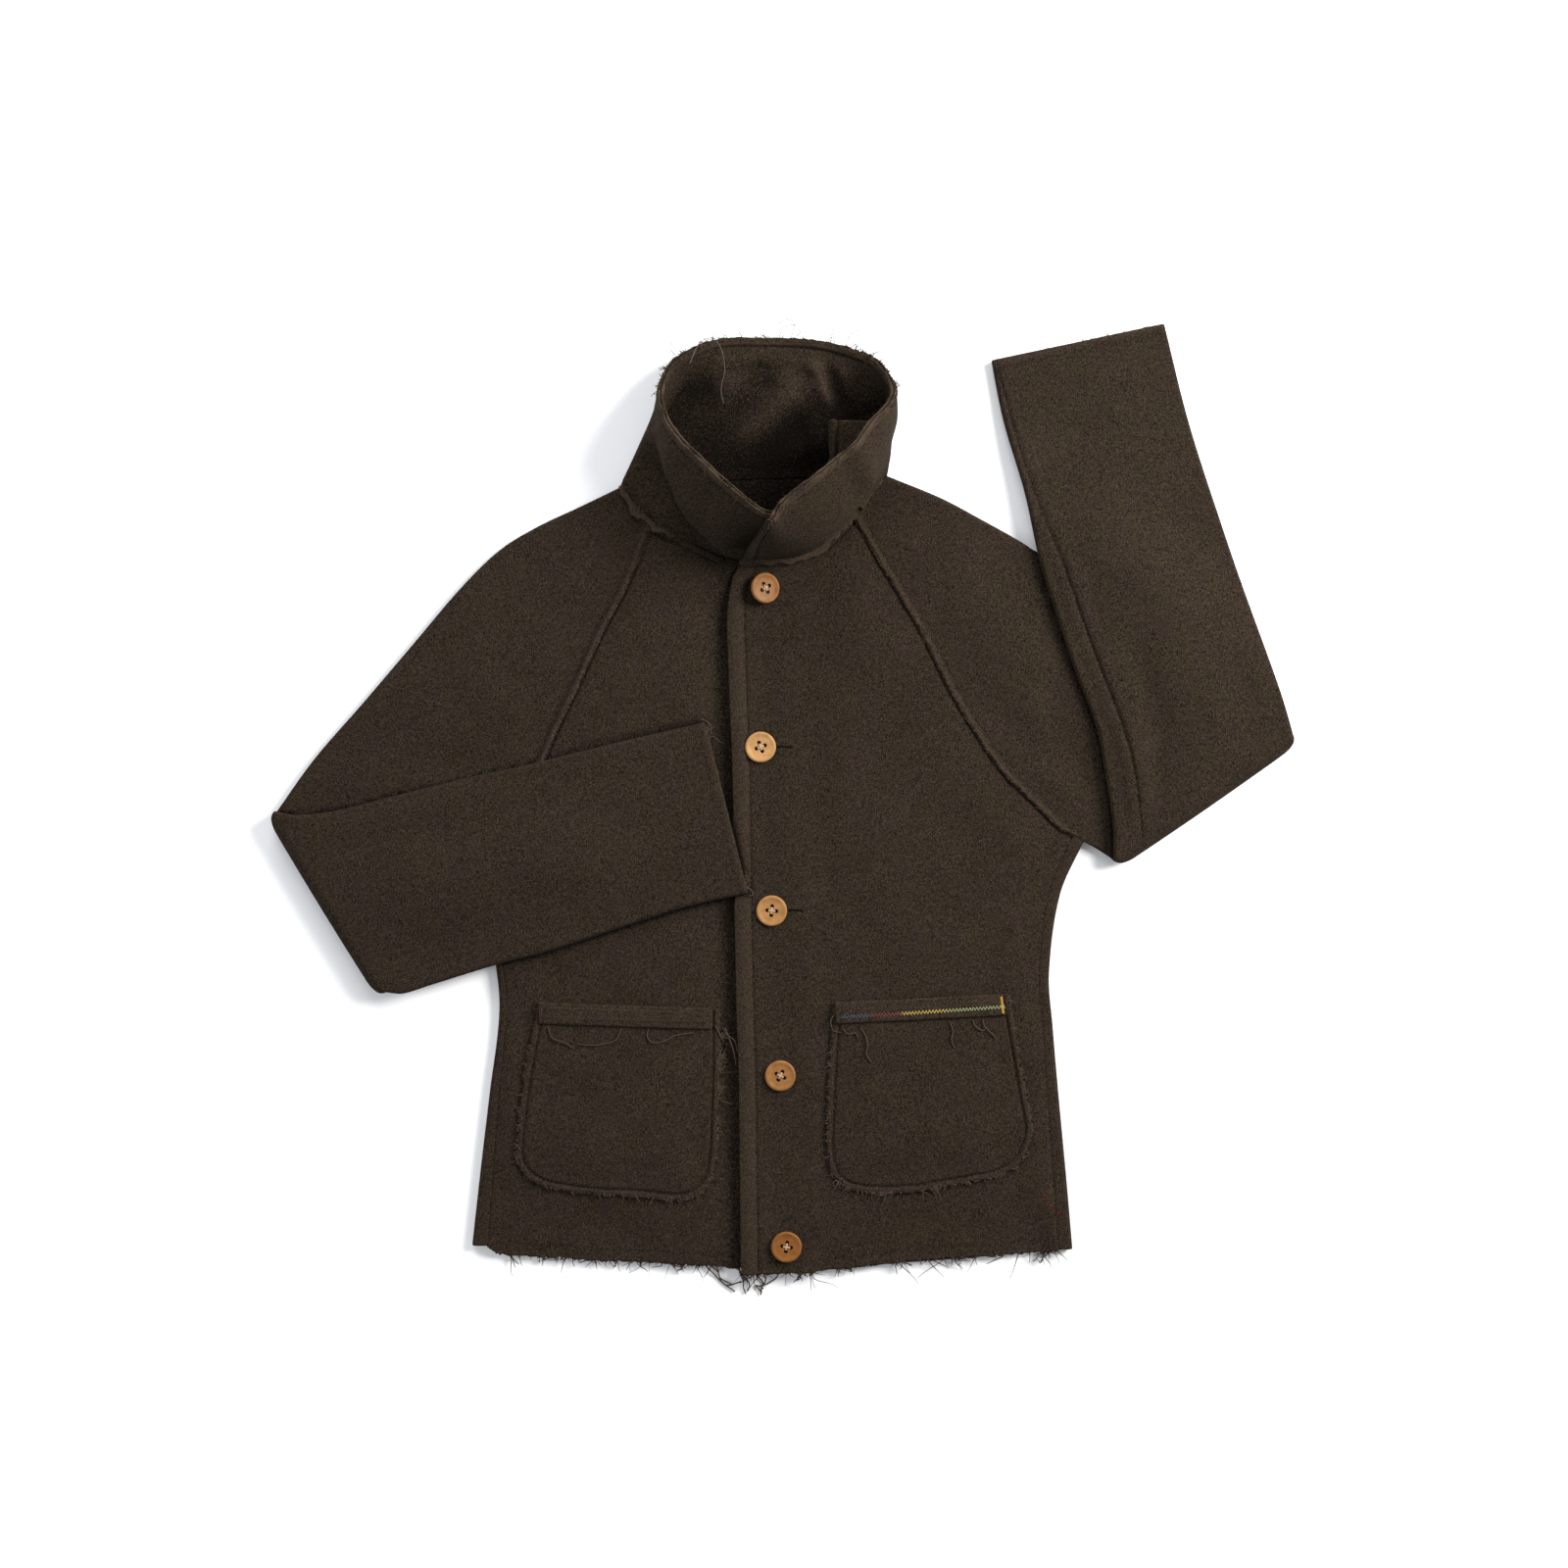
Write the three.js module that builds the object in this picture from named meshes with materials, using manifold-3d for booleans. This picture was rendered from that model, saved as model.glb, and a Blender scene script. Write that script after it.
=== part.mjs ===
import * as THREE from "three";
import Module from "manifold-3d";

// A wool coat laid on its back, +Z up. The wearer's right is on the -X side, the head is at +Y.
// Lengths in mm.
const bodyCloth = 2.4;
const collarCloth = 2.2;
const collarLayerGap = 0.5;
const pocketCloth = 2.2;
const seamGap = 0.3;
const tubeHeight = 3 * bodyCloth + 2 * seamGap;
const foldAxisHeight = tubeHeight + 1.3;
const layingHeight = tubeHeight + 0.4;
const rollRadius = 4;
const rollInset = 1.17;
const buttonDiameter = 25;
const buttonThickness = 3.5;
const buttonTilt = -0.42;

const frontUnder = bodyCloth + seamGap;
const frontOver = frontUnder + bodyCloth + seamGap;

const wool = new THREE.Color(0.105, 0.088, 0.072);
const woolLight = new THREE.Color(0.13, 0.11, 0.09);
const horn = new THREE.Color(0.5, 0.34, 0.15);

// Side folds, from the hem up: y, x of the fold, and how far inside it the side seam lies.
const rightSide = [
  { y: -361, x: -252, seam: 12 },
  { y: -307, x: -246, seam: 10 },
  { y: -239, x: -238, seam: 7 },
  { y: -172, x: -230, seam: 5 },
  { y: -133, x: -233, seam: 5 },
  { y: -90, x: -242, seam: 7 },
  { y: -46, x: -254, seam: 10 },
];
const leftSide = [
  { y: -364, x: 237, seam: 11 },
  { y: -306, x: 232, seam: 11 },
  { y: -242, x: 226, seam: 9 },
  { y: -184, x: 221, seam: 8 },
  { y: -140, x: 218, seam: 8 },
  { y: -76, x: 227, seam: 9 },
  { y: -33, x: 246, seam: 10 },
];

// Raglan seams, from the armpit to the neck, in plan.
const rightRaglan = [
  [-254, -46], [-238, -24], [-219, -4], [-197, 30], [-185, 58], [-169, 91], [-148, 137], [-125, 181],
  [-107, 228],
];
const leftRaglan = [
  [246, -33], [227, -21], [211, -5], [186, 19], [165, 47], [137, 94], [114, 140], [86, 187], [59, 234],
];
const rightRaglanBack = [-94, 260];
const leftRaglanBack = [42, 264];
const rightNeckPoint = [-131, 256];
const leftNeckPoint = [86, 265];
const backNeck = [[-58, 261], [-22, 262], [10, 263]];
const rightNeck = [[-94, 219], [-73, 209], [-51, 199], [-34, 196], [6, 195]];
const leftNeck = [[47, 221], [32, 207], [12, 198], [-6, 196], [-32, 196]];

// Hems, from the side seam to the front edge, one point for each column of a front.
const rightHem = [
  [-240, -365], [-230, -368], [-206, -370], [-181, -371], [-156, -373], [-131, -374], [-106, -375],
  [-81, -377], [-56, -378], [-36, -380], [-12, -381], [14, -382],
];
const leftHem = [
  [226, -365], [216, -366], [190, -368], [165, -370], [139, -371], [113, -373], [86, -376], [61, -379],
  [37, -381], [21, -383], [-6, -384], [-32, -384],
];
const backHemDrop = 16;
const leftFrontEdge = [
  [-32, -384], [-33, -305], [-34, -220], [-36, -156], [-38, -34], [-39, 30], [-41, 79], [-42, 108],
  [-43, 150], [-39, 181], [-32, 196],
];
const rightFrontEdge = [[14, -382], [7, -100], [3, 30], [-4, 150], [-1, 181], [6, 195]];
const panelRows = [0, 0.11, 0.22, 0.33, 0.44, 0.55, 0.66, 0.77, 0.88, 0.95, 1];

// Sleeves: outer is the shoulder edge, under is the underarm edge, fold is where the cloth turns back.
const rightSleeveForm = {
  hand: 1,
  droops: false,
  side: rightSide,
  raglan: rightRaglan,
  neckPoint: rightNeckPoint,
  neckStep: [-119, 240],
  backStep: [-114, 258],
  backCorner: rightRaglanBack,
  fold: [[-411, -8], [-321, -155]],
  outer: [[-131, 256], [-166, 239], [-198, 224], [-229, 205], [-261, 174], [-301, 127], [-341, 80],
    [-381, 34], [-411, -8]],
  under: [[-254, -46], [-291, -90], [-321, -155]],
  outerBack: [[-411, -8], [-395, -11], [-364, -8], [-316, 4], [-260, 18], [-205, 30], [-141, 46], [-63, 64]],
  underBack: [[-321, -155], [-307, -156], [-284, -149], [-232, -133], [-189, -122], [-125, -101], [-77, -86],
    [-28, -75]],
};
const leftSleeveForm = {
  hand: -1,
  droops: true,
  side: leftSide,
  raglan: leftRaglan,
  neckPoint: leftNeckPoint,
  neckStep: [72, 249],
  backStep: [64, 264.3],
  backCorner: leftRaglanBack,
  fold: [[415, 54], [269, -47]],
  outer: [[86, 265], [130, 247], [162, 230], [194, 212], [208, 203], [249, 183], [301, 153], [361, 102],
    [415, 54]],
  under: [[246, -33], [257, -39], [269, -47]],
  outerBack: [[415, 54], [407, 82], [392, 127], [360, 221], [332, 308], [312, 388]],
  underBack: [[269, -47], [269, -22], [264, 14], [256, 58], [240, 101], [221, 157], [209, 197], [197, 252],
    [181, 308], [171, 358]],
};
const upperArmRows = [0, 0.16, 0.34, 0.52, 0.7, 0.86];
const lowerArmRows = [0.08, 0.2, 0.36, 0.52, 0.68, 0.84, 1];

// Soft swellings of the upper cloth: centre, half lengths, turn of the long axis in degrees, rise.
const upperSwells = [
  { x: -250, y: 120, long: 110, across: 34, turn: 48, rise: 4 },
  { x: -330, y: 35, long: 60, across: 26, turn: 40, rise: 3 },
  { x: 170, y: 150, long: 70, across: 30, turn: -50, rise: 3 },
];
const lowerSwells = [
  { x: -300, y: -60, long: 90, across: 42, turn: 20, rise: 6 },
  { x: -140, y: -30, long: 90, across: 40, turn: 17, rise: 5 },
  { x: 300, y: 60, long: 80, across: 45, turn: 55, rise: 6 },
  { x: 280, y: 230, long: 110, across: 40, turn: -70, rise: 7 },
];

// The left lower sleeve comes down to the surface past this line beyond its own shoulder edge.
const droop = { at: [208, 203], out: [0.586, 0.811], start: 20, length: 70 };

// Collar sections round the neck: each has its foot on the neck seam, a crease, a bulge and its top
// edge, on the surface between the two layers. turn is how the outer face looks at the foot, in
// degrees from straight up.
const collarSections = [
  { foot: [8, 196.5, 2.7], crease: [8, 212, 7.5], bulge: [8, 212, 32], top: [11, 235, 64], turn: 0 },
  { foot: [-34, 196, 2.75], crease: [-27, 207, 8], bulge: [-26, 212, 31], top: [-11, 227, 78], turn: 0 },
  { foot: [-51, 199, 2.75], crease: [-43, 209, 8], bulge: [-49, 206, 32], top: [-31, 241, 80], turn: 0 },
  { foot: [-73, 209, 4.1], crease: [-59, 229, 9], bulge: [-71, 226, 32], top: [-47, 255, 77], turn: 0 },
  { foot: [-94, 219, 5.45], crease: [-75, 245, 10.5], bulge: [-83, 246, 31], top: [-64, 271, 74], turn: 0 },
  { foot: [-107, 228, 5.45], crease: [-84, 264, 11], bulge: [-92, 265, 30], top: [-79, 285, 70], turn: 0 },
  { foot: [-119, 240, 5.45], crease: [-97, 279, 11], bulge: [-98, 289, 28], top: [-90, 301, 64], turn: 0 },
  { foot: [-128.4, 254, 5.45], crease: [-112, 287, 11],
    bulge: [-102, 300, 24], top: [-95, 313, 56], turn: 0 },
  { foot: [-128.7, 257.4, 3.9], crease: [-114, 289, 6],
    bulge: [-104, 308, 13], top: [-97, 325, 44], turn: 90 },
  { foot: [-126.5, 257.6, 2.35], crease: [-110, 290, 2.6],
    bulge: [-98, 313, 5], top: [-95, 340, 32], turn: 180 },
  { foot: [-94, 260, 2.35], crease: [-88, 294, 2.35], bulge: [-85, 330, 3], top: [-85, 358, 20], turn: 180 },
  { foot: [-58, 261, 2.35], crease: [-54, 297, 2.35],
    bulge: [-52, 338, 2.6], top: [-53, 374, 12], turn: 180 },
  { foot: [-22, 262, 2.35], crease: [-20, 297, 2.35], bulge: [-18, 340, 2.5], top: [-14, 376, 8], turn: 180 },
  { foot: [10, 263, 2.35], crease: [14, 297, 2.35], bulge: [18, 339, 2.5], top: [27, 374, 9], turn: 180 },
  { foot: [42, 264, 2.35], crease: [48, 295, 2.35], bulge: [56, 332, 3], top: [58, 366, 15], turn: 180 },
  { foot: [82, 265, 2.35], crease: [85, 295, 2.6], bulge: [88, 317, 6], top: [79, 353, 26], turn: 180 },
  { foot: [83, 265, 3.9], crease: [87, 292, 6], bulge: [91, 313, 16], top: [89, 336, 40], turn: 90 },
  { foot: [83, 263, 5.45], crease: [85, 277, 10], bulge: [85, 290, 28], top: [88, 320, 58], turn: 0 },
  { foot: [72, 249, 5.45], crease: [73, 256, 14], bulge: [73, 263, 36], top: [72, 300, 70], turn: 0 },
  { foot: [59, 234, 5.45], crease: [57, 237, 14], bulge: [58, 238, 38], top: [53, 277, 77], turn: 0 },
  { foot: [47, 221, 5.45], crease: [44, 222, 14], bulge: [45, 223, 39], top: [32, 260, 81], turn: 0 },
  { foot: [32, 207, 5.45], crease: [29, 210, 14], bulge: [30, 210, 39], top: [14, 246, 84], turn: 0 },
  { foot: [12, 198, 5.45], crease: [11, 202, 14], bulge: [11, 203, 39], top: [0, 234, 87], turn: 0 },
  { foot: [-6, 196, 5.45], crease: [-6, 199, 14], bulge: [-6, 202, 39], top: [-6, 225, 88], turn: 0 },
  { foot: [-32, 196, 5.45], crease: [-30, 199, 14], bulge: [-25, 206, 38], top: [-10, 220, 88], turn: 0 },
];
const collarRows = [0, 0.13, 0.27, 0.4, 0.53, 0.66, 0.8, 0.91, 1];
const facingFirstRow = 1;

const rightPocketForm = {
  top: [[-197, -164], [-147, -166], [-99, -168], [-51, -170]],
  left: [[-197, -164], [-203, -195], [-209, -229], [-215, -287]],
  right: [[-51, -170], [-51, -210], [-52, -249], [-54, -291]],
  bandTop: [[-196.5, -164], [-57, -168.5]],
  bandFoot: [[-196.5, -180], [-57, -184.5]],
  foot: [[-215, -287], [-211, -299], [-200, -309], [-188, -314], [-153, -319], [-114, -321], [-86, -324],
    [-68, -320], [-59, -309], [-54, -291]],
};
const leftPocketForm = {
  top: [[44, -164], [91, -162], [138, -160], [184, -157]],
  left: [[44, -164], [40, -209], [38, -252], [37, -284]],
  right: [[184, -157], [193, -209], [199, -242], [203, -267]],
  bandTop: [[44, -164], [182, -157]],
  bandFoot: [[45, -180], [183, -173]],
  foot: [[37, -284], [41, -301], [50, -312], [67, -317], [104, -317], [136, -312], [157, -308], [174, -305],
    [191, -295], [199, -282], [203, -267]],
};
// Collar flap: free corner, wall end of its top edge, then the same along its lower edge.
const tabCorners = [[39, 306, 24], [80.5, 303, 44], [40, 272, 20], [72, 274, 34]];
const tabCloth = 3;

const pocketRows = [0, 0.12, 0.3, 0.48, 0.66, 0.84, 1];
const pocketBelly = 3;

const buttonPlaces = [
  { x: -14, y: 173, tilt: buttonTilt },
  { x: -17, y: 44, tilt: 0 },
  { x: -8, y: -89, tilt: 0 },
  { x: -1, y: -223, tilt: 0 },
  { x: 4, y: -362, tilt: 0 },
];

function mix(a, b, t) {
  return a + (b - a) * t;
}

function mixPoints(a, b, t) {
  return a.map((value, i) => mix(value, b[i], t));
}

function ease(t) {
  const c = Math.min(Math.max(t, 0), 1);
  return c * c * (3 - 2 * c);
}

function distance(a, b) {
  return Math.hypot(b[0] - a[0], b[1] - a[1]);
}

function unit(from, to) {
  const length = distance(from, to);
  return [(to[0] - from[0]) / length, (to[1] - from[1]) / length];
}

function moved(point, way, length) {
  return [point[0] + way[0] * length, point[1] + way[1] * length];
}

function last(list) {
  return list[list.length - 1];
}

function pathLength(path) {
  return path.slice(1).reduce((sum, point, i) => sum + distance(path[i], point), 0);
}

// The point this far along a path of straight lengths.
function alongPath(path, length) {
  let left = length;
  let i = 1;
  while (i < path.length - 1 && left > distance(path[i - 1], path[i])) {
    left -= distance(path[i - 1], path[i]);
    i += 1;
  }
  return moved(path[i - 1], unit(path[i - 1], path[i]), left);
}

function atFraction(path, fraction) {
  return alongPath(path, fraction * pathLength(path));
}

// Moves each point of a path sideways, to its left for a positive shift.
function shifted(path, shift) {
  return path.map((point, i) => {
    const way = unit(path[Math.max(i - 1, 0)], path[Math.min(i + 1, path.length - 1)]);
    return moved(point, [-way[1], way[0]], shift);
  });
}

// Turns the faces outward when the enclosed volume comes out negative.
function closedGeometry(points, faces) {
  let volume = 0;
  for (let i = 0; i < faces.length; i += 3) {
    const [a, b, c] = [points[faces[i]], points[faces[i + 1]], points[faces[i + 2]]];
    volume += a.dot(b.clone().cross(c));
  }
  if (volume < 0) faces.reverse();
  const geometry = new THREE.BufferGeometry();
  const numbers = points.flatMap((point) => point.toArray());
  geometry.setAttribute("position", new THREE.Float32BufferAttribute(numbers, 3));
  geometry.setIndex(faces);
  geometry.computeVertexNormals();
  return geometry;
}

// A closed solid between two grids of points, its borders joined by strips.
function solidBetween(outer, inner, around) {
  const rows = outer.length;
  const columns = outer[0].length;
  const points = [...outer.flat(), ...inner.flat()];
  const faces = [];
  const outerAt = (r, c) => r * columns + (c % columns);
  const innerAt = (r, c) => rows * columns + outerAt(r, c);
  const quad = (a, b, c, d, flip) => {
    if (flip) faces.push(a, b, d, b, c, d);
    else faces.push(a, b, c, a, c, d);
  };
  const shorter = (r, c) => {
    const across = points[outerAt(r, c)].distanceToSquared(points[outerAt(r + 1, c + 1)]);
    return across > points[outerAt(r, c + 1)].distanceToSquared(points[outerAt(r + 1, c)]);
  };
  for (let c = 0; c < (around ? columns : columns - 1); c += 1) {
    for (let r = 0; r < rows - 1; r += 1) {
      const flip = shorter(r, c);
      quad(outerAt(r, c), outerAt(r, c + 1), outerAt(r + 1, c + 1), outerAt(r + 1, c), flip);
      quad(innerAt(r, c), innerAt(r + 1, c), innerAt(r + 1, c + 1), innerAt(r, c + 1), flip);
    }
    quad(outerAt(0, c), innerAt(0, c), innerAt(0, c + 1), outerAt(0, c + 1), false);
    const end = rows - 1;
    quad(outerAt(end, c), outerAt(end, c + 1), innerAt(end, c + 1), innerAt(end, c), false);
  }
  for (let r = 0; r < rows - 1 && !around; r += 1) {
    quad(outerAt(r, 0), outerAt(r + 1, 0), innerAt(r + 1, 0), innerAt(r, 0), false);
    const end = columns - 1;
    quad(outerAt(r, end), innerAt(r, end), innerAt(r + 1, end), outerAt(r + 1, end), false);
  }
  return closedGeometry(points, faces);
}

// Fills the area inside four edges: p across, q up. Each edge is given at p or q; corners are shared.
function patchPoint(edges, corners, p, q) {
  return [0, 1].map((k) => {
    const foot = mix(corners.footStart[k], corners.footEnd[k], p);
    const head = mix(corners.headStart[k], corners.headEnd[k], p);
    const upDown = mix(edges.foot[k], edges.head[k], q);
    return upDown + mix(edges.start[k], edges.end[k], p) - mix(foot, head, q);
  });
}

function swellHeight(swells, x, y) {
  return swells.reduce((sum, swell) => {
    const turn = THREE.MathUtils.degToRad(swell.turn);
    const dx = x - swell.x;
    const dy = y - swell.y;
    const along = (dx * Math.cos(turn) + dy * Math.sin(turn)) / swell.long;
    const across = (dy * Math.cos(turn) - dx * Math.sin(turn)) / swell.across;
    return sum + swell.rise * Math.exp(-along * along - across * across);
  }, 0);
}

// The raglan seam as the pieces beside it share it: even steps past the side seam.
function raglanSteps(raglan, side) {
  const first = last(side).seam + 12;
  return [0, 0.2, 0.4, 0.6, 0.8, 1].map((t) => alongPath(raglan, mix(first, pathLength(raglan), t)));
}

// One row across a side fold: the fold itself, the way inward from it, and the seam's inset.
function sideFold(side, raglan, q) {
  const y = mix(side[0].y, last(side).y, q);
  const i = Math.max(1, side.findIndex((row) => row.y >= y - 1e-6));
  const t = (y - side[i - 1].y) / (side[i].y - side[i - 1].y);
  const inward = -Math.sign(side[0].x);
  const raglanWay = unit(raglan[0], raglan[1]);
  const turn = ease((q - 0.7) / 0.3);
  const way = unit([0, 0], [mix(inward, raglanWay[0], turn), mix(0, raglanWay[1], turn)]);
  const fold = [mix(side[i - 1].x, side[i].x, t), y];
  const bodyWay = [inward * raglanWay[1], -inward * raglanWay[0]];
  return {
    at: moved(fold, bodyWay, (q * seamGap) / 2),
    way,
    seam: mix(side[i - 1].seam, side[i].seam, t),
  };
}

// A front: columns from side seam to front edge, rows from hem to raglan and neck.
// columnLifts is the height of its underside for each column, topLifts the same along its top row.
function frontPanel({ side, raglan, neck, hem, frontEdge, columnLifts, topLifts }) {
  const inward = -Math.sign(side[0].x);
  const seamPoint = (q) => {
    const row = sideFold(side, raglan, q);
    return moved(row.at, row.way, row.seam + seamGap / 2);
  };
  const head = shifted([raglan[0], ...raglanSteps(raglan, side), ...neck], (-inward * seamGap) / 2);
  head[0] = seamPoint(1);
  const edge = [...frontEdge];
  edge[edge.length - 1] = last(head);
  const foot = [seamPoint(0), ...hem.slice(1)];
  const corners = {
    footStart: foot[0],
    footEnd: last(foot),
    headStart: head[0],
    headEnd: last(head),
  };
  const under = panelRows.map((q) =>
    head.map((point, c) => {
      const edges = { foot: foot[c], head: point, start: seamPoint(q), end: atFraction(edge, q) };
      const flat = patchPoint(edges, corners, c / (head.length - 1), q);
      return new THREE.Vector3(...flat, mix(columnLifts[c], topLifts[c], ease((q - 0.85) / 0.15)));
    }),
  );
  const over = under.map((row) => row.map((point) => point.clone().setZ(point.z + bodyCloth)));
  return solidBetween(over, under, false);
}

// Places across a rolled-over edge, from above to below: inset from the fold and height.
const innerRadius = tubeHeight / 2 - bodyCloth;
const rollOuter = [
  { inset: rollRadius, height: tubeHeight },
  { inset: rollInset, height: tubeHeight - rollInset },
  { inset: 0, height: tubeHeight / 2 },
  { inset: rollInset, height: rollInset },
  { inset: rollRadius, height: 0 },
];
const rollInner = [
  { inset: rollRadius, height: tubeHeight - bodyCloth },
  { inset: rollRadius - 0.75 * innerRadius, height: tubeHeight / 2 + 0.7 * innerRadius },
  { inset: bodyCloth, height: tubeHeight / 2 },
  { inset: rollRadius - 0.75 * innerRadius, height: tubeHeight / 2 - 0.7 * innerRadius },
  { inset: rollRadius, height: bodyCloth },
];
const rollShares = [1, 0.7, 0.35, 0.1, 0];

// The back: lies flat, and rolls up over each side fold to its seam on the upper side.
function backPanel() {
  const rightSteps = raglanSteps(rightRaglan, rightSide);
  const leftSteps = raglanSteps(leftRaglan, leftSide).reverse();
  const headPath = [...rightSteps, rightRaglanBack, ...backNeck, leftRaglanBack, ...leftSteps];
  const head = shifted(headPath, -seamGap / 2);
  const face = (roll, flatHeight) =>
    panelRows.map((q) => {
      const rolled = (side, raglan, atQ) => {
        const row = sideFold(side, raglan, atQ);
        const places = [{ inset: row.seam - seamGap / 2, height: roll[0].height }, ...roll];
        return places.map(({ inset, height }) => [...moved(row.at, row.way, inset), height]);
      };
      const right = rolled(rightSide, rightRaglan, q);
      const left = rolled(leftSide, leftRaglan, q).reverse();
      const corners = {
        footStart: last(rolled(rightSide, rightRaglan, 0)),
        footEnd: last(rolled(leftSide, leftRaglan, 0)),
        headStart: last(rolled(rightSide, rightRaglan, 1)),
        headEnd: last(rolled(leftSide, leftRaglan, 1)),
      };
      const flatPart = head.map((point, c) => {
        const p = (c + 1) / (head.length + 1);
        const foot = mixPoints(corners.footStart, corners.footEnd, p);
        foot[1] -= backHemDrop * Math.sin(Math.PI * p);
        const edges = { foot, head: point, start: last(right), end: left[0] };
        return [...patchPoint(edges, corners, p, q), flatHeight];
      });
      return [...right, ...flatPart, ...left].map((point) => new THREE.Vector3(...point));
    });
  return solidBetween(face(rollOuter, 0), face(rollInner, bodyCloth), false);
}

// The columns round a sleeve: where each starts on the raglan and neck seams, its height in the
// flattened tube, its fraction across, and how much of a swelling of the upper cloth it takes.
function sleeveColumns(form, roll, shift) {
  const { neckPoint, neckStep, backStep, backCorner, side, raglan } = form;
  const steps = raglanSteps(raglan, side).reverse();
  const topPath = shifted([neckPoint, neckStep, ...steps, raglan[0]], shift);
  const backPath = shifted([neckPoint, backStep, backCorner, ...steps, raglan[0]], shift);
  const width = distance(...form.fold);
  const isUpper = (height) => height > tubeHeight / 2;
  const neckRoll = roll.map(({ inset, height }, i) => ({
    start: alongPath(isUpper(height) ? topPath : backPath, inset),
    startFraction: 0,
    fraction: inset / width,
    height,
    share: rollShares[i],
  }));
  const armpit = last(topPath);
  const armpitWay = unit(armpit, topPath[topPath.length - 2]);
  const armpitRoll = roll.map(({ inset, height }, i) => ({
    start: moved(armpit, armpitWay, inset),
    startFraction: 1,
    fraction: 1 - inset / width,
    height,
    share: rollShares[i],
  }));
  const between = (path, height, share) =>
    path.slice(1, -1).map((point, i) => ({
      start: point,
      startFraction: (i + 1) / (path.length - 1),
      fraction: (i + 1) / (path.length - 1),
      height,
      share,
    }));
  const upper = between(topPath, roll[0].height, 1);
  const lower = between(backPath, last(roll).height, 0);
  return [...neckRoll.reverse(), ...upper, ...armpitRoll, ...lower.reverse()];
}

// A sleeve: a flattened tube from raglan to fold, round the fold, and back over itself to the cuff.
function sleeve(form) {
  const [foldOuter, foldUnder] = form.fold;
  const foldWay = unit(foldOuter, foldUnder);
  const outward = [form.hand * foldWay[1], -form.hand * foldWay[0]];
  const foldPoint = (column) => mixPoints(foldOuter, foldUnder, column.fraction);
  const placeOn = (column, from, to, outerPath, underPath, corners, q) => {
    const fraction = mix(column.startFraction, column.fraction, q);
    const edges = { foot: from, head: to, start: atFraction(outerPath, q), end: atFraction(underPath, q) };
    return patchPoint(edges, corners, fraction, q);
  };
  const upperCorners = {
    footStart: form.neckPoint,
    footEnd: form.raglan[0],
    headStart: foldOuter,
    headEnd: foldUnder,
  };
  const cuffOuter = last(form.outerBack);
  const cuffUnder = last(form.underBack);
  const lowerCorners = {
    footStart: foldOuter,
    footEnd: foldUnder,
    headStart: cuffOuter,
    headEnd: cuffUnder,
  };
  const turnedHeight = 2 * foldAxisHeight - tubeHeight;
  const upperRow = (columns, q) =>
    columns.map((column) => {
      const flat = placeOn(column, column.start, foldPoint(column), form.outer, form.under, upperCorners, q);
      const swell = column.share * Math.sin(Math.PI * q) * swellHeight(upperSwells, ...flat);
      return new THREE.Vector3(...flat, column.height + swell);
    });
  const foldRow = (columns, turn) =>
    columns.map((column) => {
      const reach = foldAxisHeight - column.height;
      const flat = moved(foldPoint(column), outward, reach * Math.sin(turn));
      return new THREE.Vector3(...flat, foldAxisHeight - reach * Math.cos(turn));
    });
  const lowerRow = (columns, q) =>
    columns.map((column) => {
      const cuff = mixPoints(cuffOuter, cuffUnder, column.fraction);
      const flatColumn = { ...column, startFraction: column.fraction };
      const start = foldPoint(column);
      const flat = placeOn(flatColumn, start, cuff, form.outerBack, form.underBack, lowerCorners, q);
      const laid = mix(turnedHeight, layingHeight, ease(q / 0.35));
      const beyond = (flat[0] - droop.at[0]) * droop.out[0] + (flat[1] - droop.at[1]) * droop.out[1];
      const drop = form.droops ? ease((beyond - droop.start) / droop.length) : 0;
      const swell = (1 - column.share) * Math.sin(Math.PI * q) * swellHeight(lowerSwells, ...flat);
      return new THREE.Vector3(...flat, laid * (1 - drop) + tubeHeight - column.height + swell);
    });
  const face = (roll) => {
    const columns = sleeveColumns(form, roll, (-form.hand * seamGap) / 2);
    return [
      ...upperArmRows.map((q) => upperRow(columns, q)),
      ...[0, 0.25, 0.5, 0.75, 1].map((t) => foldRow(columns, t * Math.PI)),
      ...lowerArmRows.map((q) => lowerRow(columns, q)),
    ];
  };
  return solidBetween(face(rollOuter), face(rollInner), true);
}

// The surface between the two collar layers: rows up each section, one column a section, with the
// way outward at each point.
function collarGrid() {
  const feet = collarSections.map(({ foot }) => new THREE.Vector3(...foot));
  const across = (row, c) => row[Math.min(c + 1, row.length - 1)].clone().sub(row[Math.max(c - 1, 0)]);
  const footNormals = collarSections.map(({ foot, turn }) => {
    const angle = THREE.MathUtils.degToRad(turn);
    return new THREE.Vector3(Math.sign(foot[0]) * Math.sin(angle), 0, Math.cos(angle));
  });
  const curves = collarSections.map(({ crease, bulge, top }, c) => {
    const away = across(feet, c).cross(footNormals[c]).setLength(seamGap);
    const rest = [crease, bulge, top].map((point) => new THREE.Vector3(...point));
    return new THREE.CatmullRomCurve3([feet[c].clone().add(away), ...rest], false, "centripetal");
  });
  const points = collarRows.map((t) => curves.map((curve) => curve.getPointAt(t)));
  const normals = points.map((row, r) =>
    row.map((point, c) => {
      if (r === 0) return footNormals[c];
      const up = points[Math.min(r + 1, points.length - 1)][c].clone().sub(points[r - 1][c]);
      return up.cross(across(row, c)).normalize();
    }),
  );
  return { points, normals };
}

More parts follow.
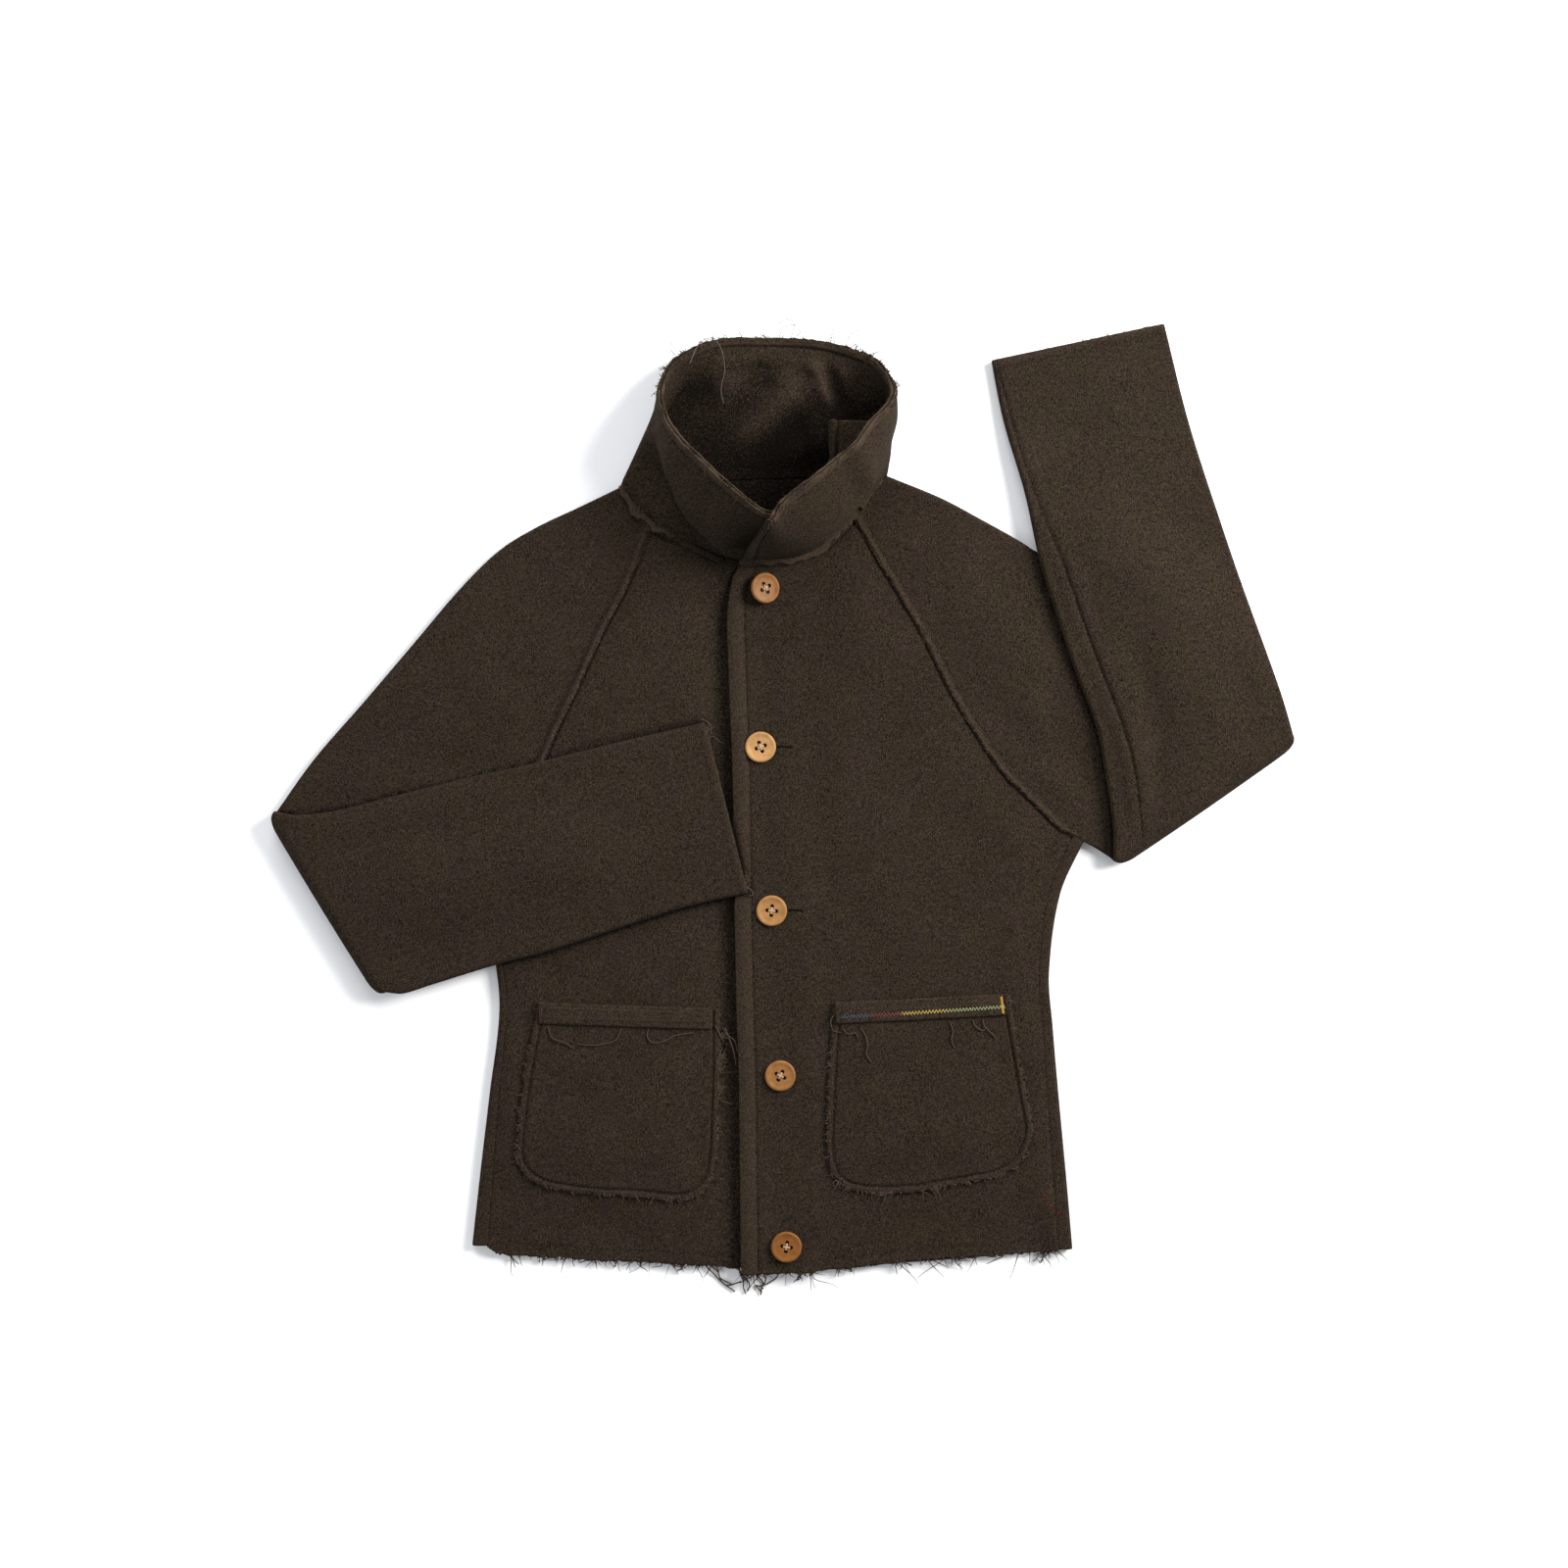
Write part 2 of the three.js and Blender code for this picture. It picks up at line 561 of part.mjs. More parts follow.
// A collar layer from one row up, between two distances from that surface, outward for positive ones.
function collarLayer(firstRow, near, far) {
  const { points, normals } = collarGrid();
  const offsetPoint = (point, normal, offset) => {
    const placed = point.clone().addScaledVector(normal, offset);
    return placed.setZ(Math.max(placed.z, 0));
  };
  const offsetGrid = (offset) =>
    points.map((row, r) => row.map((point, c) => offsetPoint(point, normals[r][c], offset))).slice(firstRow);
  return solidBetween(offsetGrid(far), offsetGrid(near), false);
}

// The small flap inside the collar, slanting from its wall down to a free corner.
function collarTab() {
  const under = [0, 0.5, 1].map((q) =>
    [0, 0.33, 0.67, 1].map((p) => {
      const top = mixPoints(tabCorners[0], tabCorners[1], p);
      return new THREE.Vector3(...mixPoints(top, mixPoints(tabCorners[2], tabCorners[3], p), q));
    }),
  );
  const over = under.map((row) => row.map((point) => point.clone().setZ(point.z + tabCloth)));
  return solidBetween(over, under, false);
}

// A pocket bag: a sheet on its front, swelling a little below its top band.
function pocketBag(form) {
  const columns = form.foot.length;
  const corners = {
    footStart: form.foot[0],
    footEnd: last(form.foot),
    headStart: form.top[0],
    headEnd: last(form.top),
  };
  const under = pocketRows.map((q) =>
    form.foot.map((point, c) => {
      const p = c / (columns - 1);
      const edges = {
        foot: point,
        head: atFraction(form.top, p),
        start: atFraction([...form.left].reverse(), q),
        end: atFraction([...form.right].reverse(), q),
      };
      const flat = patchPoint(edges, corners, p, q);
      const belly = pocketBelly * Math.sin(Math.PI * p) * Math.sin(Math.PI * Math.min(q / 0.84, 1));
      return new THREE.Vector3(...flat, frontOver + Math.max(belly, 0));
    }),
  );
  const over = under.map((row) => row.map((point) => point.clone().setZ(point.z + pocketCloth)));
  return solidBetween(over, under, false);
}

// A pocket band: a straight strip of the same cloth along the top of its bag.
function pocketBand(form) {
  const height = frontOver + pocketCloth + seamGap;
  const under = [form.bandFoot, form.bandTop].map((line) =>
    [0, 0.25, 0.5, 0.75, 1].map((t) => new THREE.Vector3(...atFraction(line, t), height)),
  );
  const over = under.map((row) => row.map((point) => point.clone().setZ(height + pocketCloth)));
  return solidBetween(over, under, false);
}

const manifold = await Module();
manifold.setup();

function toManifold(geometry) {
  const { Manifold, Mesh } = manifold;
  const positions = geometry.getAttribute("position").array;
  const triangles = new Uint32Array(geometry.index.array);
  const mesh = new Mesh({ numProp: 3, vertProperties: positions, triVerts: triangles });
  mesh.merge();
  return new Manifold(mesh);
}

// A dished button with a raised rim and four thread holes.
function buttonGeometry() {
  const radius = buttonDiameter / 2;
  const profile = [
    [0, 0], [radius - 2.5, 0], [radius - 0.6, 0.9], [radius, 1.9], [radius - 0.6, buttonThickness - 0.4],
    [radius - 2, buttonThickness], [radius - 3.6, buttonThickness - 0.7], [0, buttonThickness - 1.1],
  ].map(([x, y]) => new THREE.Vector2(x, y));
  const lathe = new THREE.LatheGeometry(profile, 24);
  lathe.rotateX(Math.PI / 2);
  let solid = toManifold(lathe);
  const { Manifold } = manifold;
  [[1, 1], [1, -1], [-1, -1], [-1, 1]].forEach(([sx, sy]) => {
    const hole = Manifold.cylinder(2 * buttonThickness, 1, 1, 8, true);
    solid = solid.subtract(hole.translate([2.6 * sx, 2.6 * sy, buttonThickness / 2]));
  });
  const mesh = solid.getMesh();
  const geometry = new THREE.BufferGeometry();
  geometry.setAttribute("position", new THREE.Float32BufferAttribute(mesh.vertProperties, 3));
  geometry.setIndex([...mesh.triVerts]);
  geometry.computeVertexNormals();
  return geometry;
}

const group = new THREE.Group();

function addPiece(name, geometry, colour, roughness) {
  const material = new THREE.MeshStandardMaterial({ color: colour, roughness, metalness: 0 });
  const mesh = new THREE.Mesh(geometry, material);
  mesh.name = name;
  group.add(mesh);
  return mesh;
}

const low = frontUnder;
const high = frontOver;
addPiece("back", backPanel(), wool, 0.95);
addPiece(
  "right_front",
  frontPanel({
    side: rightSide,
    raglan: rightRaglan,
    neck: rightNeck,
    hem: rightHem,
    frontEdge: rightFrontEdge,
    columnLifts: [high, low, low, low, low, low, low, low, low, low, low, low],
    topLifts: [high, high, high, high, high, high, high, high, 4, low, low, low],
  }),
  wool,
  0.95,
);
addPiece(
  "left_front",
  frontPanel({
    side: leftSide,
    raglan: leftRaglan,
    neck: leftNeck,
    hem: leftHem,
    frontEdge: leftFrontEdge,
    columnLifts: [high, low, low, low, low, low, low, low, low, high, high, high],
    topLifts: [high, high, high, high, high, high, high, high, high, high, high, high],
  }),
  wool,
  0.95,
);
addPiece("right_sleeve", sleeve(rightSleeveForm), wool, 0.95);
addPiece("left_sleeve", sleeve(leftSleeveForm), wool, 0.95);
const near = collarLayerGap / 2;
const far = near + collarCloth;
addPiece("collar", collarLayer(0, near, far), woolLight, 0.95);
addPiece("collar_facing", collarLayer(facingFirstRow, -far, -near), woolLight, 0.95);
addPiece("collar_tab", collarTab(), woolLight, 0.95);
addPiece("right_pocket", pocketBag(rightPocketForm), wool, 0.95);
addPiece("left_pocket", pocketBag(leftPocketForm), wool, 0.95);
addPiece("right_pocket_band", pocketBand(rightPocketForm), wool, 0.95);
addPiece("left_pocket_band", pocketBand(leftPocketForm), wool, 0.95);

const buttonShape = buttonGeometry();
buttonPlaces.forEach(({ x, y, tilt }, i) => {
  const button = addPiece(`button_${i + 1}`, buttonShape.clone(), horn, 0.45);
  const rise = Math.abs(Math.sin(tilt)) * (buttonDiameter / 2 - 2.5);
  button.geometry.rotateY(-tilt);
  button.geometry.translate(x, y, frontOver + bodyCloth + seamGap + rise);
});

// The origin is below the middle of the whole.
const middle = new THREE.Box3().setFromObject(group).getCenter(new THREE.Vector3());
group.children.forEach((mesh) => mesh.geometry.translate(-middle.x, -middle.y, 0));

export default group;
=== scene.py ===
import math
import bpy
import numpy as np
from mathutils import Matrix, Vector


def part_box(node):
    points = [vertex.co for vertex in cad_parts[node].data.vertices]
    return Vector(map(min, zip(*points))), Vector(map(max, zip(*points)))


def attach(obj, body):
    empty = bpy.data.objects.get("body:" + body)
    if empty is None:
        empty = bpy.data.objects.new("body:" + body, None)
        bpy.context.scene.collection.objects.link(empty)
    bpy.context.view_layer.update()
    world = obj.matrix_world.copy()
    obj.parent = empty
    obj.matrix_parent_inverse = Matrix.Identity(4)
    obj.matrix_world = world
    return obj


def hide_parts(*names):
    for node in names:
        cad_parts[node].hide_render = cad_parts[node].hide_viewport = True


# A wool coat laid on its back. Tables are in mm in the pattern's own plan: x to the wearer's left,
# y towards the head, z up from the surface.
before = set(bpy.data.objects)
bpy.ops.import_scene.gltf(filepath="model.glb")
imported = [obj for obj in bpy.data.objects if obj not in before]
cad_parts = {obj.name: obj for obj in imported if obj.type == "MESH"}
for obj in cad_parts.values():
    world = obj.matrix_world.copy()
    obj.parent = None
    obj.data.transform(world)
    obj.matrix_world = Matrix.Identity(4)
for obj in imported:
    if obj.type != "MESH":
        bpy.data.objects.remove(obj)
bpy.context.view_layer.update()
mm = 0.001
# The plan's place in the frame, from button 3, whose middle is at -8, -89 in the plan.
buttonBox = np.array(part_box("button_3"))
planShift = np.array([*buttonBox.mean(axis=0)[:2], 0]) + [0.008, 0.089, 0]
scene = bpy.context.scene

cameraHeight = 2.2
cameraData = bpy.data.cameras.new("camera")
cameraData.lens = 61.875
cameraData.sensor_width = 36
camera = bpy.data.objects.new("camera", cameraData)
camera.location = (0.002 + planShift[0], 0.014 + planShift[1], cameraHeight)
scene.collection.objects.link(camera)
scene.camera = camera
scene.view_settings.view_transform = "Standard"

cloth = 2.4  # thickness of the body's cloth
thinCloth = 2.2  # thickness of the collar's layers and the pockets
gap = 0.3  # air between panels
tube = 3 * cloth + 2 * gap  # height of a flattened sleeve
foldAxis = tube + 1.3  # height that a sleeve turns back about
laying = tube + 0.4  # height that a turned-back sleeve lies at
low = cloth + gap  # height of one layer, then of two
high = low + cloth + gap
rollRadius = tube / 2
stripEdge = 12.2  # stitching of the left front's folded strip, from its edge
collarStitch = 6.5  # stitching of the collar, from its edge
ragged = [0.25, 0.5, 0.25]  # weights that soften random steps along an edge


# Smoothstep: 3t^2 - 2t^3 between 0 and 1.
def ease(t):
    t = np.clip(t, 0, 1)
    return t * t * (3 - 2 * t)


# The fraction t of the way from a to b.
def mix(a, b, t):
    return a + (b - a) * t


# A bell of height 1 at a place: e to the minus square of the distance over the width.
def bell(v, place, width):
    return np.exp(-(((v - place) / width) ** 2))


# Fractions from 0 to 1 in even steps.
def evenly(count):
    return np.linspace(0, 1, count)


# The x and the y of points.
def flatOf(points):
    return points[..., 0], points[..., 1]


# Vectors over their own lengths.
def unit(v):
    return v / np.maximum(np.linalg.norm(v, axis=-1, keepdims=True), 1e-9)


# The way run along a line of points, at each of them.
def reachOf(points):
    return np.concatenate([[0], np.cumsum(np.linalg.norm(np.diff(points, axis=0), axis=1))])


# A plan's points with their heights.
def raised(plan, height):
    return np.concatenate([plan, height[..., None]], axis=-1)


# Points at fractions t of a curve through the given points, cubic between them with chord-length
# spacing, so it neither loops nor overshoots.
def along(points, t):
    p = np.asarray(points, float)
    t = np.asarray(t, float)
    s = reachOf(p)
    step = np.diff(s)
    slope = np.empty_like(p)
    slope[1:-1] = (p[2:] - p[:-2]) / (s[2:] - s[:-2])[:, None]
    slope[0] = (p[1] - p[0]) / step[0]
    slope[-1] = (p[-1] - p[-2]) / step[-1]
    at = t * s[-1]
    i = np.clip(np.searchsorted(s, at, side="right") - 1, 0, len(step) - 1)
    h = step[i][:, None]
    f = ((at - s[i]) / step[i])[:, None]
    return (
        (2 * f**3 - 3 * f**2 + 1) * p[i]
        + (f**3 - 2 * f**2 + f) * h * slope[i]
        + (3 * f**2 - 2 * f**3) * p[i + 1]
        + (f**3 - f**2) * h * slope[i + 1]
    )


# Coons patch: the two ruled sheets between opposite edges, less the flat one through the corners.
def patch(foot, head, start, end, u, v):
    u = u[None, :, None]
    v = v[:, None, None]
    corners = (1 - v) * ((1 - u) * foot[0] + u * foot[-1]) + v * ((1 - u) * head[0] + u * head[-1])
    return (1 - v) * foot[None] + v * head[None] + (1 - u) * start[:, None] + u * end[:, None] - corners


# For points in plan and a segment: the fraction along it of each one's foot, and the offset from it.
def toSegment(a, b, x, y):
    dx, dy = b[0] - a[0], b[1] - a[1]
    f = np.clip(((x - a[0]) * dx + (y - a[1]) * dy) / max(dx * dx + dy * dy, 1e-9), 0, 1)
    return f, x - a[0] - f * dx, y - a[1] - f * dy


# Distance in plan to a curve through the given points: the least one to its straight steps.
def distanceTo(line, x, y, steps=40):
    dense = along(line, evenly(steps + 1))
    best = np.full(np.shape(x), 1e9)
    for a, b in zip(dense[:-1], dense[1:]):
        best = np.minimum(best, np.hypot(*toSegment(a, b, x, y)[1:]))
    return best


# A crease by its half width, its rise, negative for a trough, and the x, y, x, y of its line in
# plan. Its left side can be of another width, and it needn't fade out at its ends.
def crease(width, rise, *line, soft=1, fade=True):
    return {"line": np.reshape(line, (-1, 2)), "width": width, "rise": rise, "soft": soft, "fade": fade}


# Height of soft folds: each falls off as a bell across its line.
def folds(x, y, rows):
    total = np.zeros_like(x)
    for row in rows:
        steps = 12 if row["width"] > 4 else 44  # narrow ones follow their line closely
        line = along(row["line"], evenly(steps + 1))
        best = np.full(x.shape, 1e9)
        where = np.zeros_like(x)
        side = np.zeros_like(x)
        for k in range(steps):
            d = line[k + 1] - line[k]
            f, dx, dy = toSegment(line[k], line[k + 1], x, y)
            dist = np.hypot(dx, dy)
            nearer = dist < best
            best = np.where(nearer, dist, best)
            where = np.where(nearer, (k + f) / steps, where)
            side = np.where(nearer, np.sign(d[0] * dy - d[1] * dx), side)
        width = row["width"] * np.where(side > 0, row["soft"], 1)
        fade = ease(where / 0.3) * ease((1 - where) / 0.3) if row["fade"] else 1
        total += row["rise"] * bell(best, 0, width) * fade
    return total


# Gentle unevenness: seeded sine waves in random directions about one length, of one height.
def waves(x, y, seed, length, height):
    rng = np.random.default_rng(seed)
    total = np.zeros_like(x)
    for k in range(7):
        angle = rng.uniform(0, 2 * math.pi)
        size = length * rng.uniform(0.7, 1.5)
        phase = rng.uniform(0, 2 * math.pi)
        total += np.sin((x * math.cos(angle) + y * math.sin(angle)) * 2 * math.pi / size + phase)
    return total * height / 3


# Unit normals of a grid: the cross product of its steps along and up.
def normalsOf(grid):
    return unit(np.cross(np.gradient(grid, axis=1), np.gradient(grid, axis=0)))


# Faces of four between two rows of points, or between rows of rows, that close on themselves.
def belt(a, b):
    return np.stack([a, np.roll(a, -1, axis=-1), np.roll(b, -1, axis=-1), b], axis=-1).reshape(-1, 4)


# A closed piece between two grids: both skins, and a rounded rim of three steps round each open
# border, bulging by a share of half the thickness. Its wear and painted shade, one value a point,
# lightens the wool where above 0 and darkens it where below.
def shell(name, outer, inner, wearAndShade=None, wrap=False):
    bulge = 0.8
    rows, cols = outer.shape[:2]
    index = np.arange(rows * cols).reshape(rows, cols)
    verts = [outer.reshape(-1, 3), inner.reshape(-1, 3)]
    count = 2 * rows * cols
    right = np.concatenate([index[:, 1:], index[:, :1]], axis=1) if wrap else index[:, 1:]
    left = index if wrap else index[:, :-1]
    quads = [np.stack([left[:-1], right[:-1], right[1:], left[1:]], axis=-1).reshape(-1, 4)]
    back = np.stack([left[:-1], left[1:], right[1:], right[:-1]], axis=-1).reshape(-1, 4)
    quads.append(back + rows * cols)
    sources = [np.arange(rows * cols), np.arange(rows * cols)]
    if wrap:
        borders = [(index[0], index[1]), (index[-1][::-1], index[-2][::-1])]
    else:
        ring = np.concatenate([index[0, :-1], index[:-1, -1], index[-1, :0:-1], index[:0:-1, 0]])
        inside = np.concatenate([index[1, :-1], index[:-1, -2], index[-2, :0:-1], index[:0:-1, 1]])
        borders = [(ring, inside)]
    flatOuter = outer.reshape(-1, 3)
    flatInner = inner.reshape(-1, 3)
    for ring, inside in borders:
        a, b = flatOuter[ring], flatInner[ring]
        out = (a + b) - (flatOuter[inside] + flatInner[inside])
        thickness = b - a
        out = unit(out - unit(thickness) * (out * unit(thickness)).sum(1, keepdims=True))
        half = np.linalg.norm(thickness, axis=1, keepdims=True) / 2
        loops = [ring]
        for angle in (0.28, 0.5, 0.72):
            loop = mix(a, b, 0.5 - 0.5 * math.cos(math.pi * angle))
            verts.append(loop + out * half * bulge * math.sin(math.pi * angle))
            sources.append(ring)
            loops.append(np.arange(count, count + len(ring)))
            count += len(ring)
        loops.append(ring + rows * cols)
        for near, far in zip(loops[:-1], loops[1:]):
            quads.append(np.stack([near, far, np.roll(far, -1), np.roll(near, -1)], axis=-1))
    shadingAndWear = {} if wearAndShade is None else {"edge": wearAndShade.reshape(-1)[np.concatenate(sources)]}
    return meshObject(name, np.concatenate(verts), np.concatenate(quads), shadingAndWear)


# A mesh object from arrays of points in mm and faces of one size. They are turned outward where the
# sum of a . (b x c) over them is negative.
def meshObject(name, verts, faces, attributes={}):
    points = verts * mm + planShift
    a, b, c = (points[faces[:, k]] for k in range(3))
    volume = (a * np.cross(b, c)).sum()
    if faces.shape[1] == 4:
        volume += (a * np.cross(c, points[faces[:, 3]])).sum()
    if volume < 0:
        faces = faces[:, ::-1]
    sides = faces.shape[1]
    mesh = bpy.data.meshes.new(name)
    mesh.vertices.add(len(points))
    mesh.vertices.foreach_set("co", points.astype(np.float32).ravel())
    mesh.loops.add(faces.size)
    mesh.loops.foreach_set("vertex_index", faces.astype(np.int32).ravel())
    mesh.polygons.add(len(faces))
    mesh.polygons.foreach_set("loop_start", np.arange(0, faces.size, sides, dtype=np.int32))
    mesh.polygons.foreach_set("use_smooth", np.ones(len(faces), bool))
    mesh.update(calc_edges=True)
    for key, values in attributes.items():
        layer = mesh.attributes.new(key, "FLOAT", "POINT")
        layer.data.foreach_set("value", values.astype(np.float32))
    made = bpy.data.objects.new(name, mesh)
    scene.collection.objects.link(made)
    return made


# Thin closed three-sided strands, one a row of the arrays: each runs from its base along its way,
# bends by one curl times the square of its way and another times a sine, and tapers to its tip.
def strands(name, bases, ways, lengths, curls, radius, steps):
    taper = 0.35
    stout = np.random.default_rng(len(bases)).uniform(0.6, 1.5, (len(bases), 1, 1))
    t = evenly(steps + 1)[None, :, None]
    centre = bases[:, None] + unit(ways)[:, None] * lengths[:, None, None] * t
    centre = centre + curls[:, None, :, 0] * lengths[:, None, None] * t**2
    centre = centre + curls[:, None, :, 1] * lengths[:, None, None] * np.sin(t * math.pi * 1.5) * 0.4
    tangent = unit(np.gradient(centre, axis=1))
    side = unit(np.cross(tangent, [0.31, 0.27, 0.91]))
    other = np.cross(tangent, side)
    width = radius * stout * mix(1, taper, t)
    thirds = np.arange(3) * 2 * math.pi / 3
    ring = [centre + width * (side * math.cos(a) + other * math.sin(a)) for a in thirds]
    verts = np.stack(ring, axis=2)
    k, s = len(bases), steps + 1
    verts[:, :, :, 2] = np.maximum(verts[:, :, :, 2], 0.05)
    index = np.arange(k * s * 3).reshape(k, s, 3)
    sides = belt(index[:, :-1], index[:, 1:])
    tris = np.concatenate([sides[:, [0, 1, 2]], sides[:, [0, 2, 3]], index[:, 0, ::-1], index[:, -1]])
    return meshObject(name, verts.reshape(-1, 3), tris)


# A piece of closed tubes along paths of their own in mm: at each point a ring of five, a radius out.
def tubes(name, paths, radius, material, slot="wool", attributes={}):
    verts, tris, extra = [], [], {key: [] for key in attributes}
    count = 0
    angle = np.arange(5) * 2 * math.pi / 5
    for k, path in enumerate(paths):
        path = np.asarray(path, float)
        tangent = unit(np.gradient(path, axis=0))
        side = unit(np.cross(tangent, [0.05, 0.03, 1.0]))
        other = np.cross(side, tangent)
        turned = side[:, None] * np.cos(angle)[:, None] + other[:, None] * np.sin(angle)[:, None]
        ring = path[:, None] + radius * turned
        n = len(path)
        index = count + np.arange(n * 5).reshape(n, 5)
        quads = belt(index[:-1], index[1:])
        caps = [[index[0, 0], index[0, j + 1], index[0, j]] for j in (1, 2, 3)]
        caps += [[index[-1, 0], index[-1, j], index[-1, j + 1]] for j in (1, 2, 3)]
        tris += [quads[:, [0, 1, 2]], quads[:, [0, 2, 3]], np.array(caps)]
        verts.append(ring.reshape(-1, 3))
        for key, values in attributes.items():
            extra[key].append(np.repeat(np.asarray(values[k], float), 5))
        count += n * 5
    extra = {key: np.concatenate(values) for key, values in extra.items()}
    piece = meshObject(name, np.concatenate(verts), np.concatenate(tris), extra)
    return finishPiece(piece, material, slot)


# Loose fibres along an edge, spread evenly or round tufts: base points on the line, ways outward
# with a normal share along it, lengths with many short ones and few long ones, by a beta curve.
def frayRows(
    line, out, count, seed, short, long, lean=0.5, sink=0.15, where=(0, 1), curl=0.35, tufts=None
):
    rng = np.random.default_rng(seed)
    line = np.asarray(line, float)
    out = unit(np.asarray(out, float))
    reach = reachOf(line)
    at = rng.uniform(*where, count) * reach[-1]
    if tufts:
        middles = rng.uniform(*where, tufts)[rng.integers(0, tufts, count)] * reach[-1]
        at = np.clip(middles + rng.normal(0, 0.9, count), 0, reach[-1])
    rows = (line, out, unit(np.gradient(line, axis=0)))
    base, way, side = (np.stack([np.interp(at, reach, v) for v in row.T], axis=1) for row in rows)
    way = way + side * rng.normal(0, lean, (count, 1)) + rng.normal(0, 0.12, (count, 3))
    way[:, 2] -= sink
    base = base + rng.normal(0, 0.35, (count, 3)) - way * 0.6
    length = short + (long - short) * rng.beta(1, 2.6, count)
    curls = rng.normal(0, curl, (count, 3, 2))
    curls[:, 2] *= 0.4
    return base, way, length, curls


# All the frays of some groups as one piece.
def frayPiece(name, material, slot, groups, radius, steps=5):
    joined = [np.concatenate(parts) for parts in zip(*groups)]
    return finishPiece(strands(name, *joined, radius, steps), material, slot)


# Sets inputs of a node by name, an underscore standing for a space.
def setInputs(made, **inputs):
    for key, value in inputs.items():
        made.inputs[key.replace("_", " ")].default_value = value
    return made


# A new node with some inputs set.
def node(tree, kind, **inputs):
    return setInputs(tree.nodes.new("ShaderNode" + kind), **inputs)


# A node that reads a mesh's own attribute.
def attributeNode(tree, name):
    made = node(tree, "Attribute")
    made.attribute_name = name
    return made.outputs["Fac"]


# A mix of two colours, or their product by a factor.
def colourMix(tree, blend="MIX", **inputs):
    made = node(tree, "Mix")
    made.data_type = "RGBA"
    made.blend_type = blend
    return setInputs(made, **inputs)


# Felted wool: fine clumps of fibre over softer blotches, with a faint upright weave, as a colour
# between the dark and light ones and as a height. Each noise is weighted and summed, cut to a ramp,
# and raised or lowered by the mesh's edge value, which holds wear and painted light and shade.
def woolGroup():
    tree = bpy.data.node_groups.new("feltedWool", "ShaderNodeTree")
    sockets = [
        ("Vector", "INPUT", "Vector", None), ("Dark", "INPUT", "Color", (0.03, 0.02, 0.015, 1)),
        ("Light", "INPUT", "Color", (0.12, 0.1, 0.08, 1)), ("WearAndShade", "INPUT", "Float", 0.0),
        ("Color", "OUTPUT", "Color", None), ("Height", "OUTPUT", "Float", None),
    ]
    for name, inOut, kind, value in sockets:
        made = tree.interface.new_socket(name=name, in_out=inOut, socket_type="NodeSocket" + kind)
        if value is not None:
            made.default_value = value
    start = tree.nodes.new("NodeGroupInput")
    end = tree.nodes.new("NodeGroupOutput")
    link = tree.links.new

    # Noise over the group's vector, stretched where a stretch is given.
    def noise(scale, detail, rough, stretch=None):
        made = node(tree, "TexNoise", Scale=scale, Detail=detail, Roughness=rough)
        vector = start.outputs["Vector"]
        if stretch:
            mapping = node(tree, "Mapping", Scale=stretch)
            link(vector, mapping.inputs["Vector"])
            vector = mapping.outputs["Vector"]
        link(vector, made.inputs["Vector"])
        return made.outputs["Fac"]

    # The sum a * wa + b * wb.
    def blend(a, b, wa, wb):
        first, second = node(tree, "Math"), node(tree, "Math")
        first.operation = "MULTIPLY"
        second.operation = "MULTIPLY_ADD"
        link(a, first.inputs[0])
        first.inputs[1].default_value = wa
        link(b, second.inputs[0])
        second.inputs[1].default_value = wb
        link(first.outputs[0], second.inputs[2])
        return second.outputs[0]

    # A value's place between two others, from 0 to 1.
    def ramp(value, lowest, highest):
        made = node(tree, "MapRange", From_Min=lowest, From_Max=highest)
        link(value, made.inputs["Value"])
        return made.outputs["Result"]

    # A mix with whatever of its inputs comes from other nodes linked.
    def mixed(blendType="MIX", values={}, **links):
        made = colourMix(tree, blendType, **values)
        for key, output in links.items():
            link(output, made.inputs[key])
        return made.outputs["Result"]

    fine = noise(1500, 2, 0.6)
    clump = noise(1000, 2, 0.6)
    weave = noise(900, 2, 0.5, (1.4, 0.45, 1))
    blotch = noise(34, 3, 0.55)
    total = blend(blend(fine, clump, 0.38, 0.30), blend(weave, blotch, 0.28, 0.04), 1, 1)
    glint = ramp(noise(1050, 0, 0.5, (1, 0.8, 1)), 0.52, 0.66)
    speck = ramp(noise(1150, 1, 0.5, (1, 1, 1.3)), 0.44, 0.56)
    patchy = ramp(noise(70, 3, 0.6, (1, 0.5, 1)), 0.4, 0.6)
    lifted = node(tree, "Math")
    lifted.operation = "MULTIPLY_ADD"
    lifted.use_clamp = True
    link(start.outputs["WearAndShade"], lifted.inputs[0])
    lifted.inputs[1].default_value = 0.5
    link(blend(ramp(total, 0.425, 0.645), glint, 1, 0.34), lifted.inputs[2])
    colour = mixed(Factor=lifted.outputs[0], A=start.outputs["Dark"], B=start.outputs["Light"])
    tinted = mixed("MULTIPLY", {"B": (0.96, 1.08, 0.80, 1)}, Factor=speck, A=colour)
    hue = mixed(values={"A": (1.02, 0.985, 1.05, 1), "B": (0.985, 1.012, 0.93, 1)}, Factor=patchy)
    link(mixed("MULTIPLY", {"Factor": 1.0}, A=tinted, B=hue), end.inputs["Color"])
    link(blend(blend(fine, clump, 0.55, 0.45), weave, 1, 0.25), end.inputs["Height"])
    return tree


# A material of one colour, with its roughness and specular level.
def plainMaterial(name, colour, rough=0.9, spec=0.2):
    made = bpy.data.materials.new(name)
    made.use_nodes = True
    shader = made.node_tree.nodes["Principled BSDF"]
    setInputs(shader, Base_Color=(*colour, 1), Roughness=rough, Specular_IOR_Level=spec)
    return made


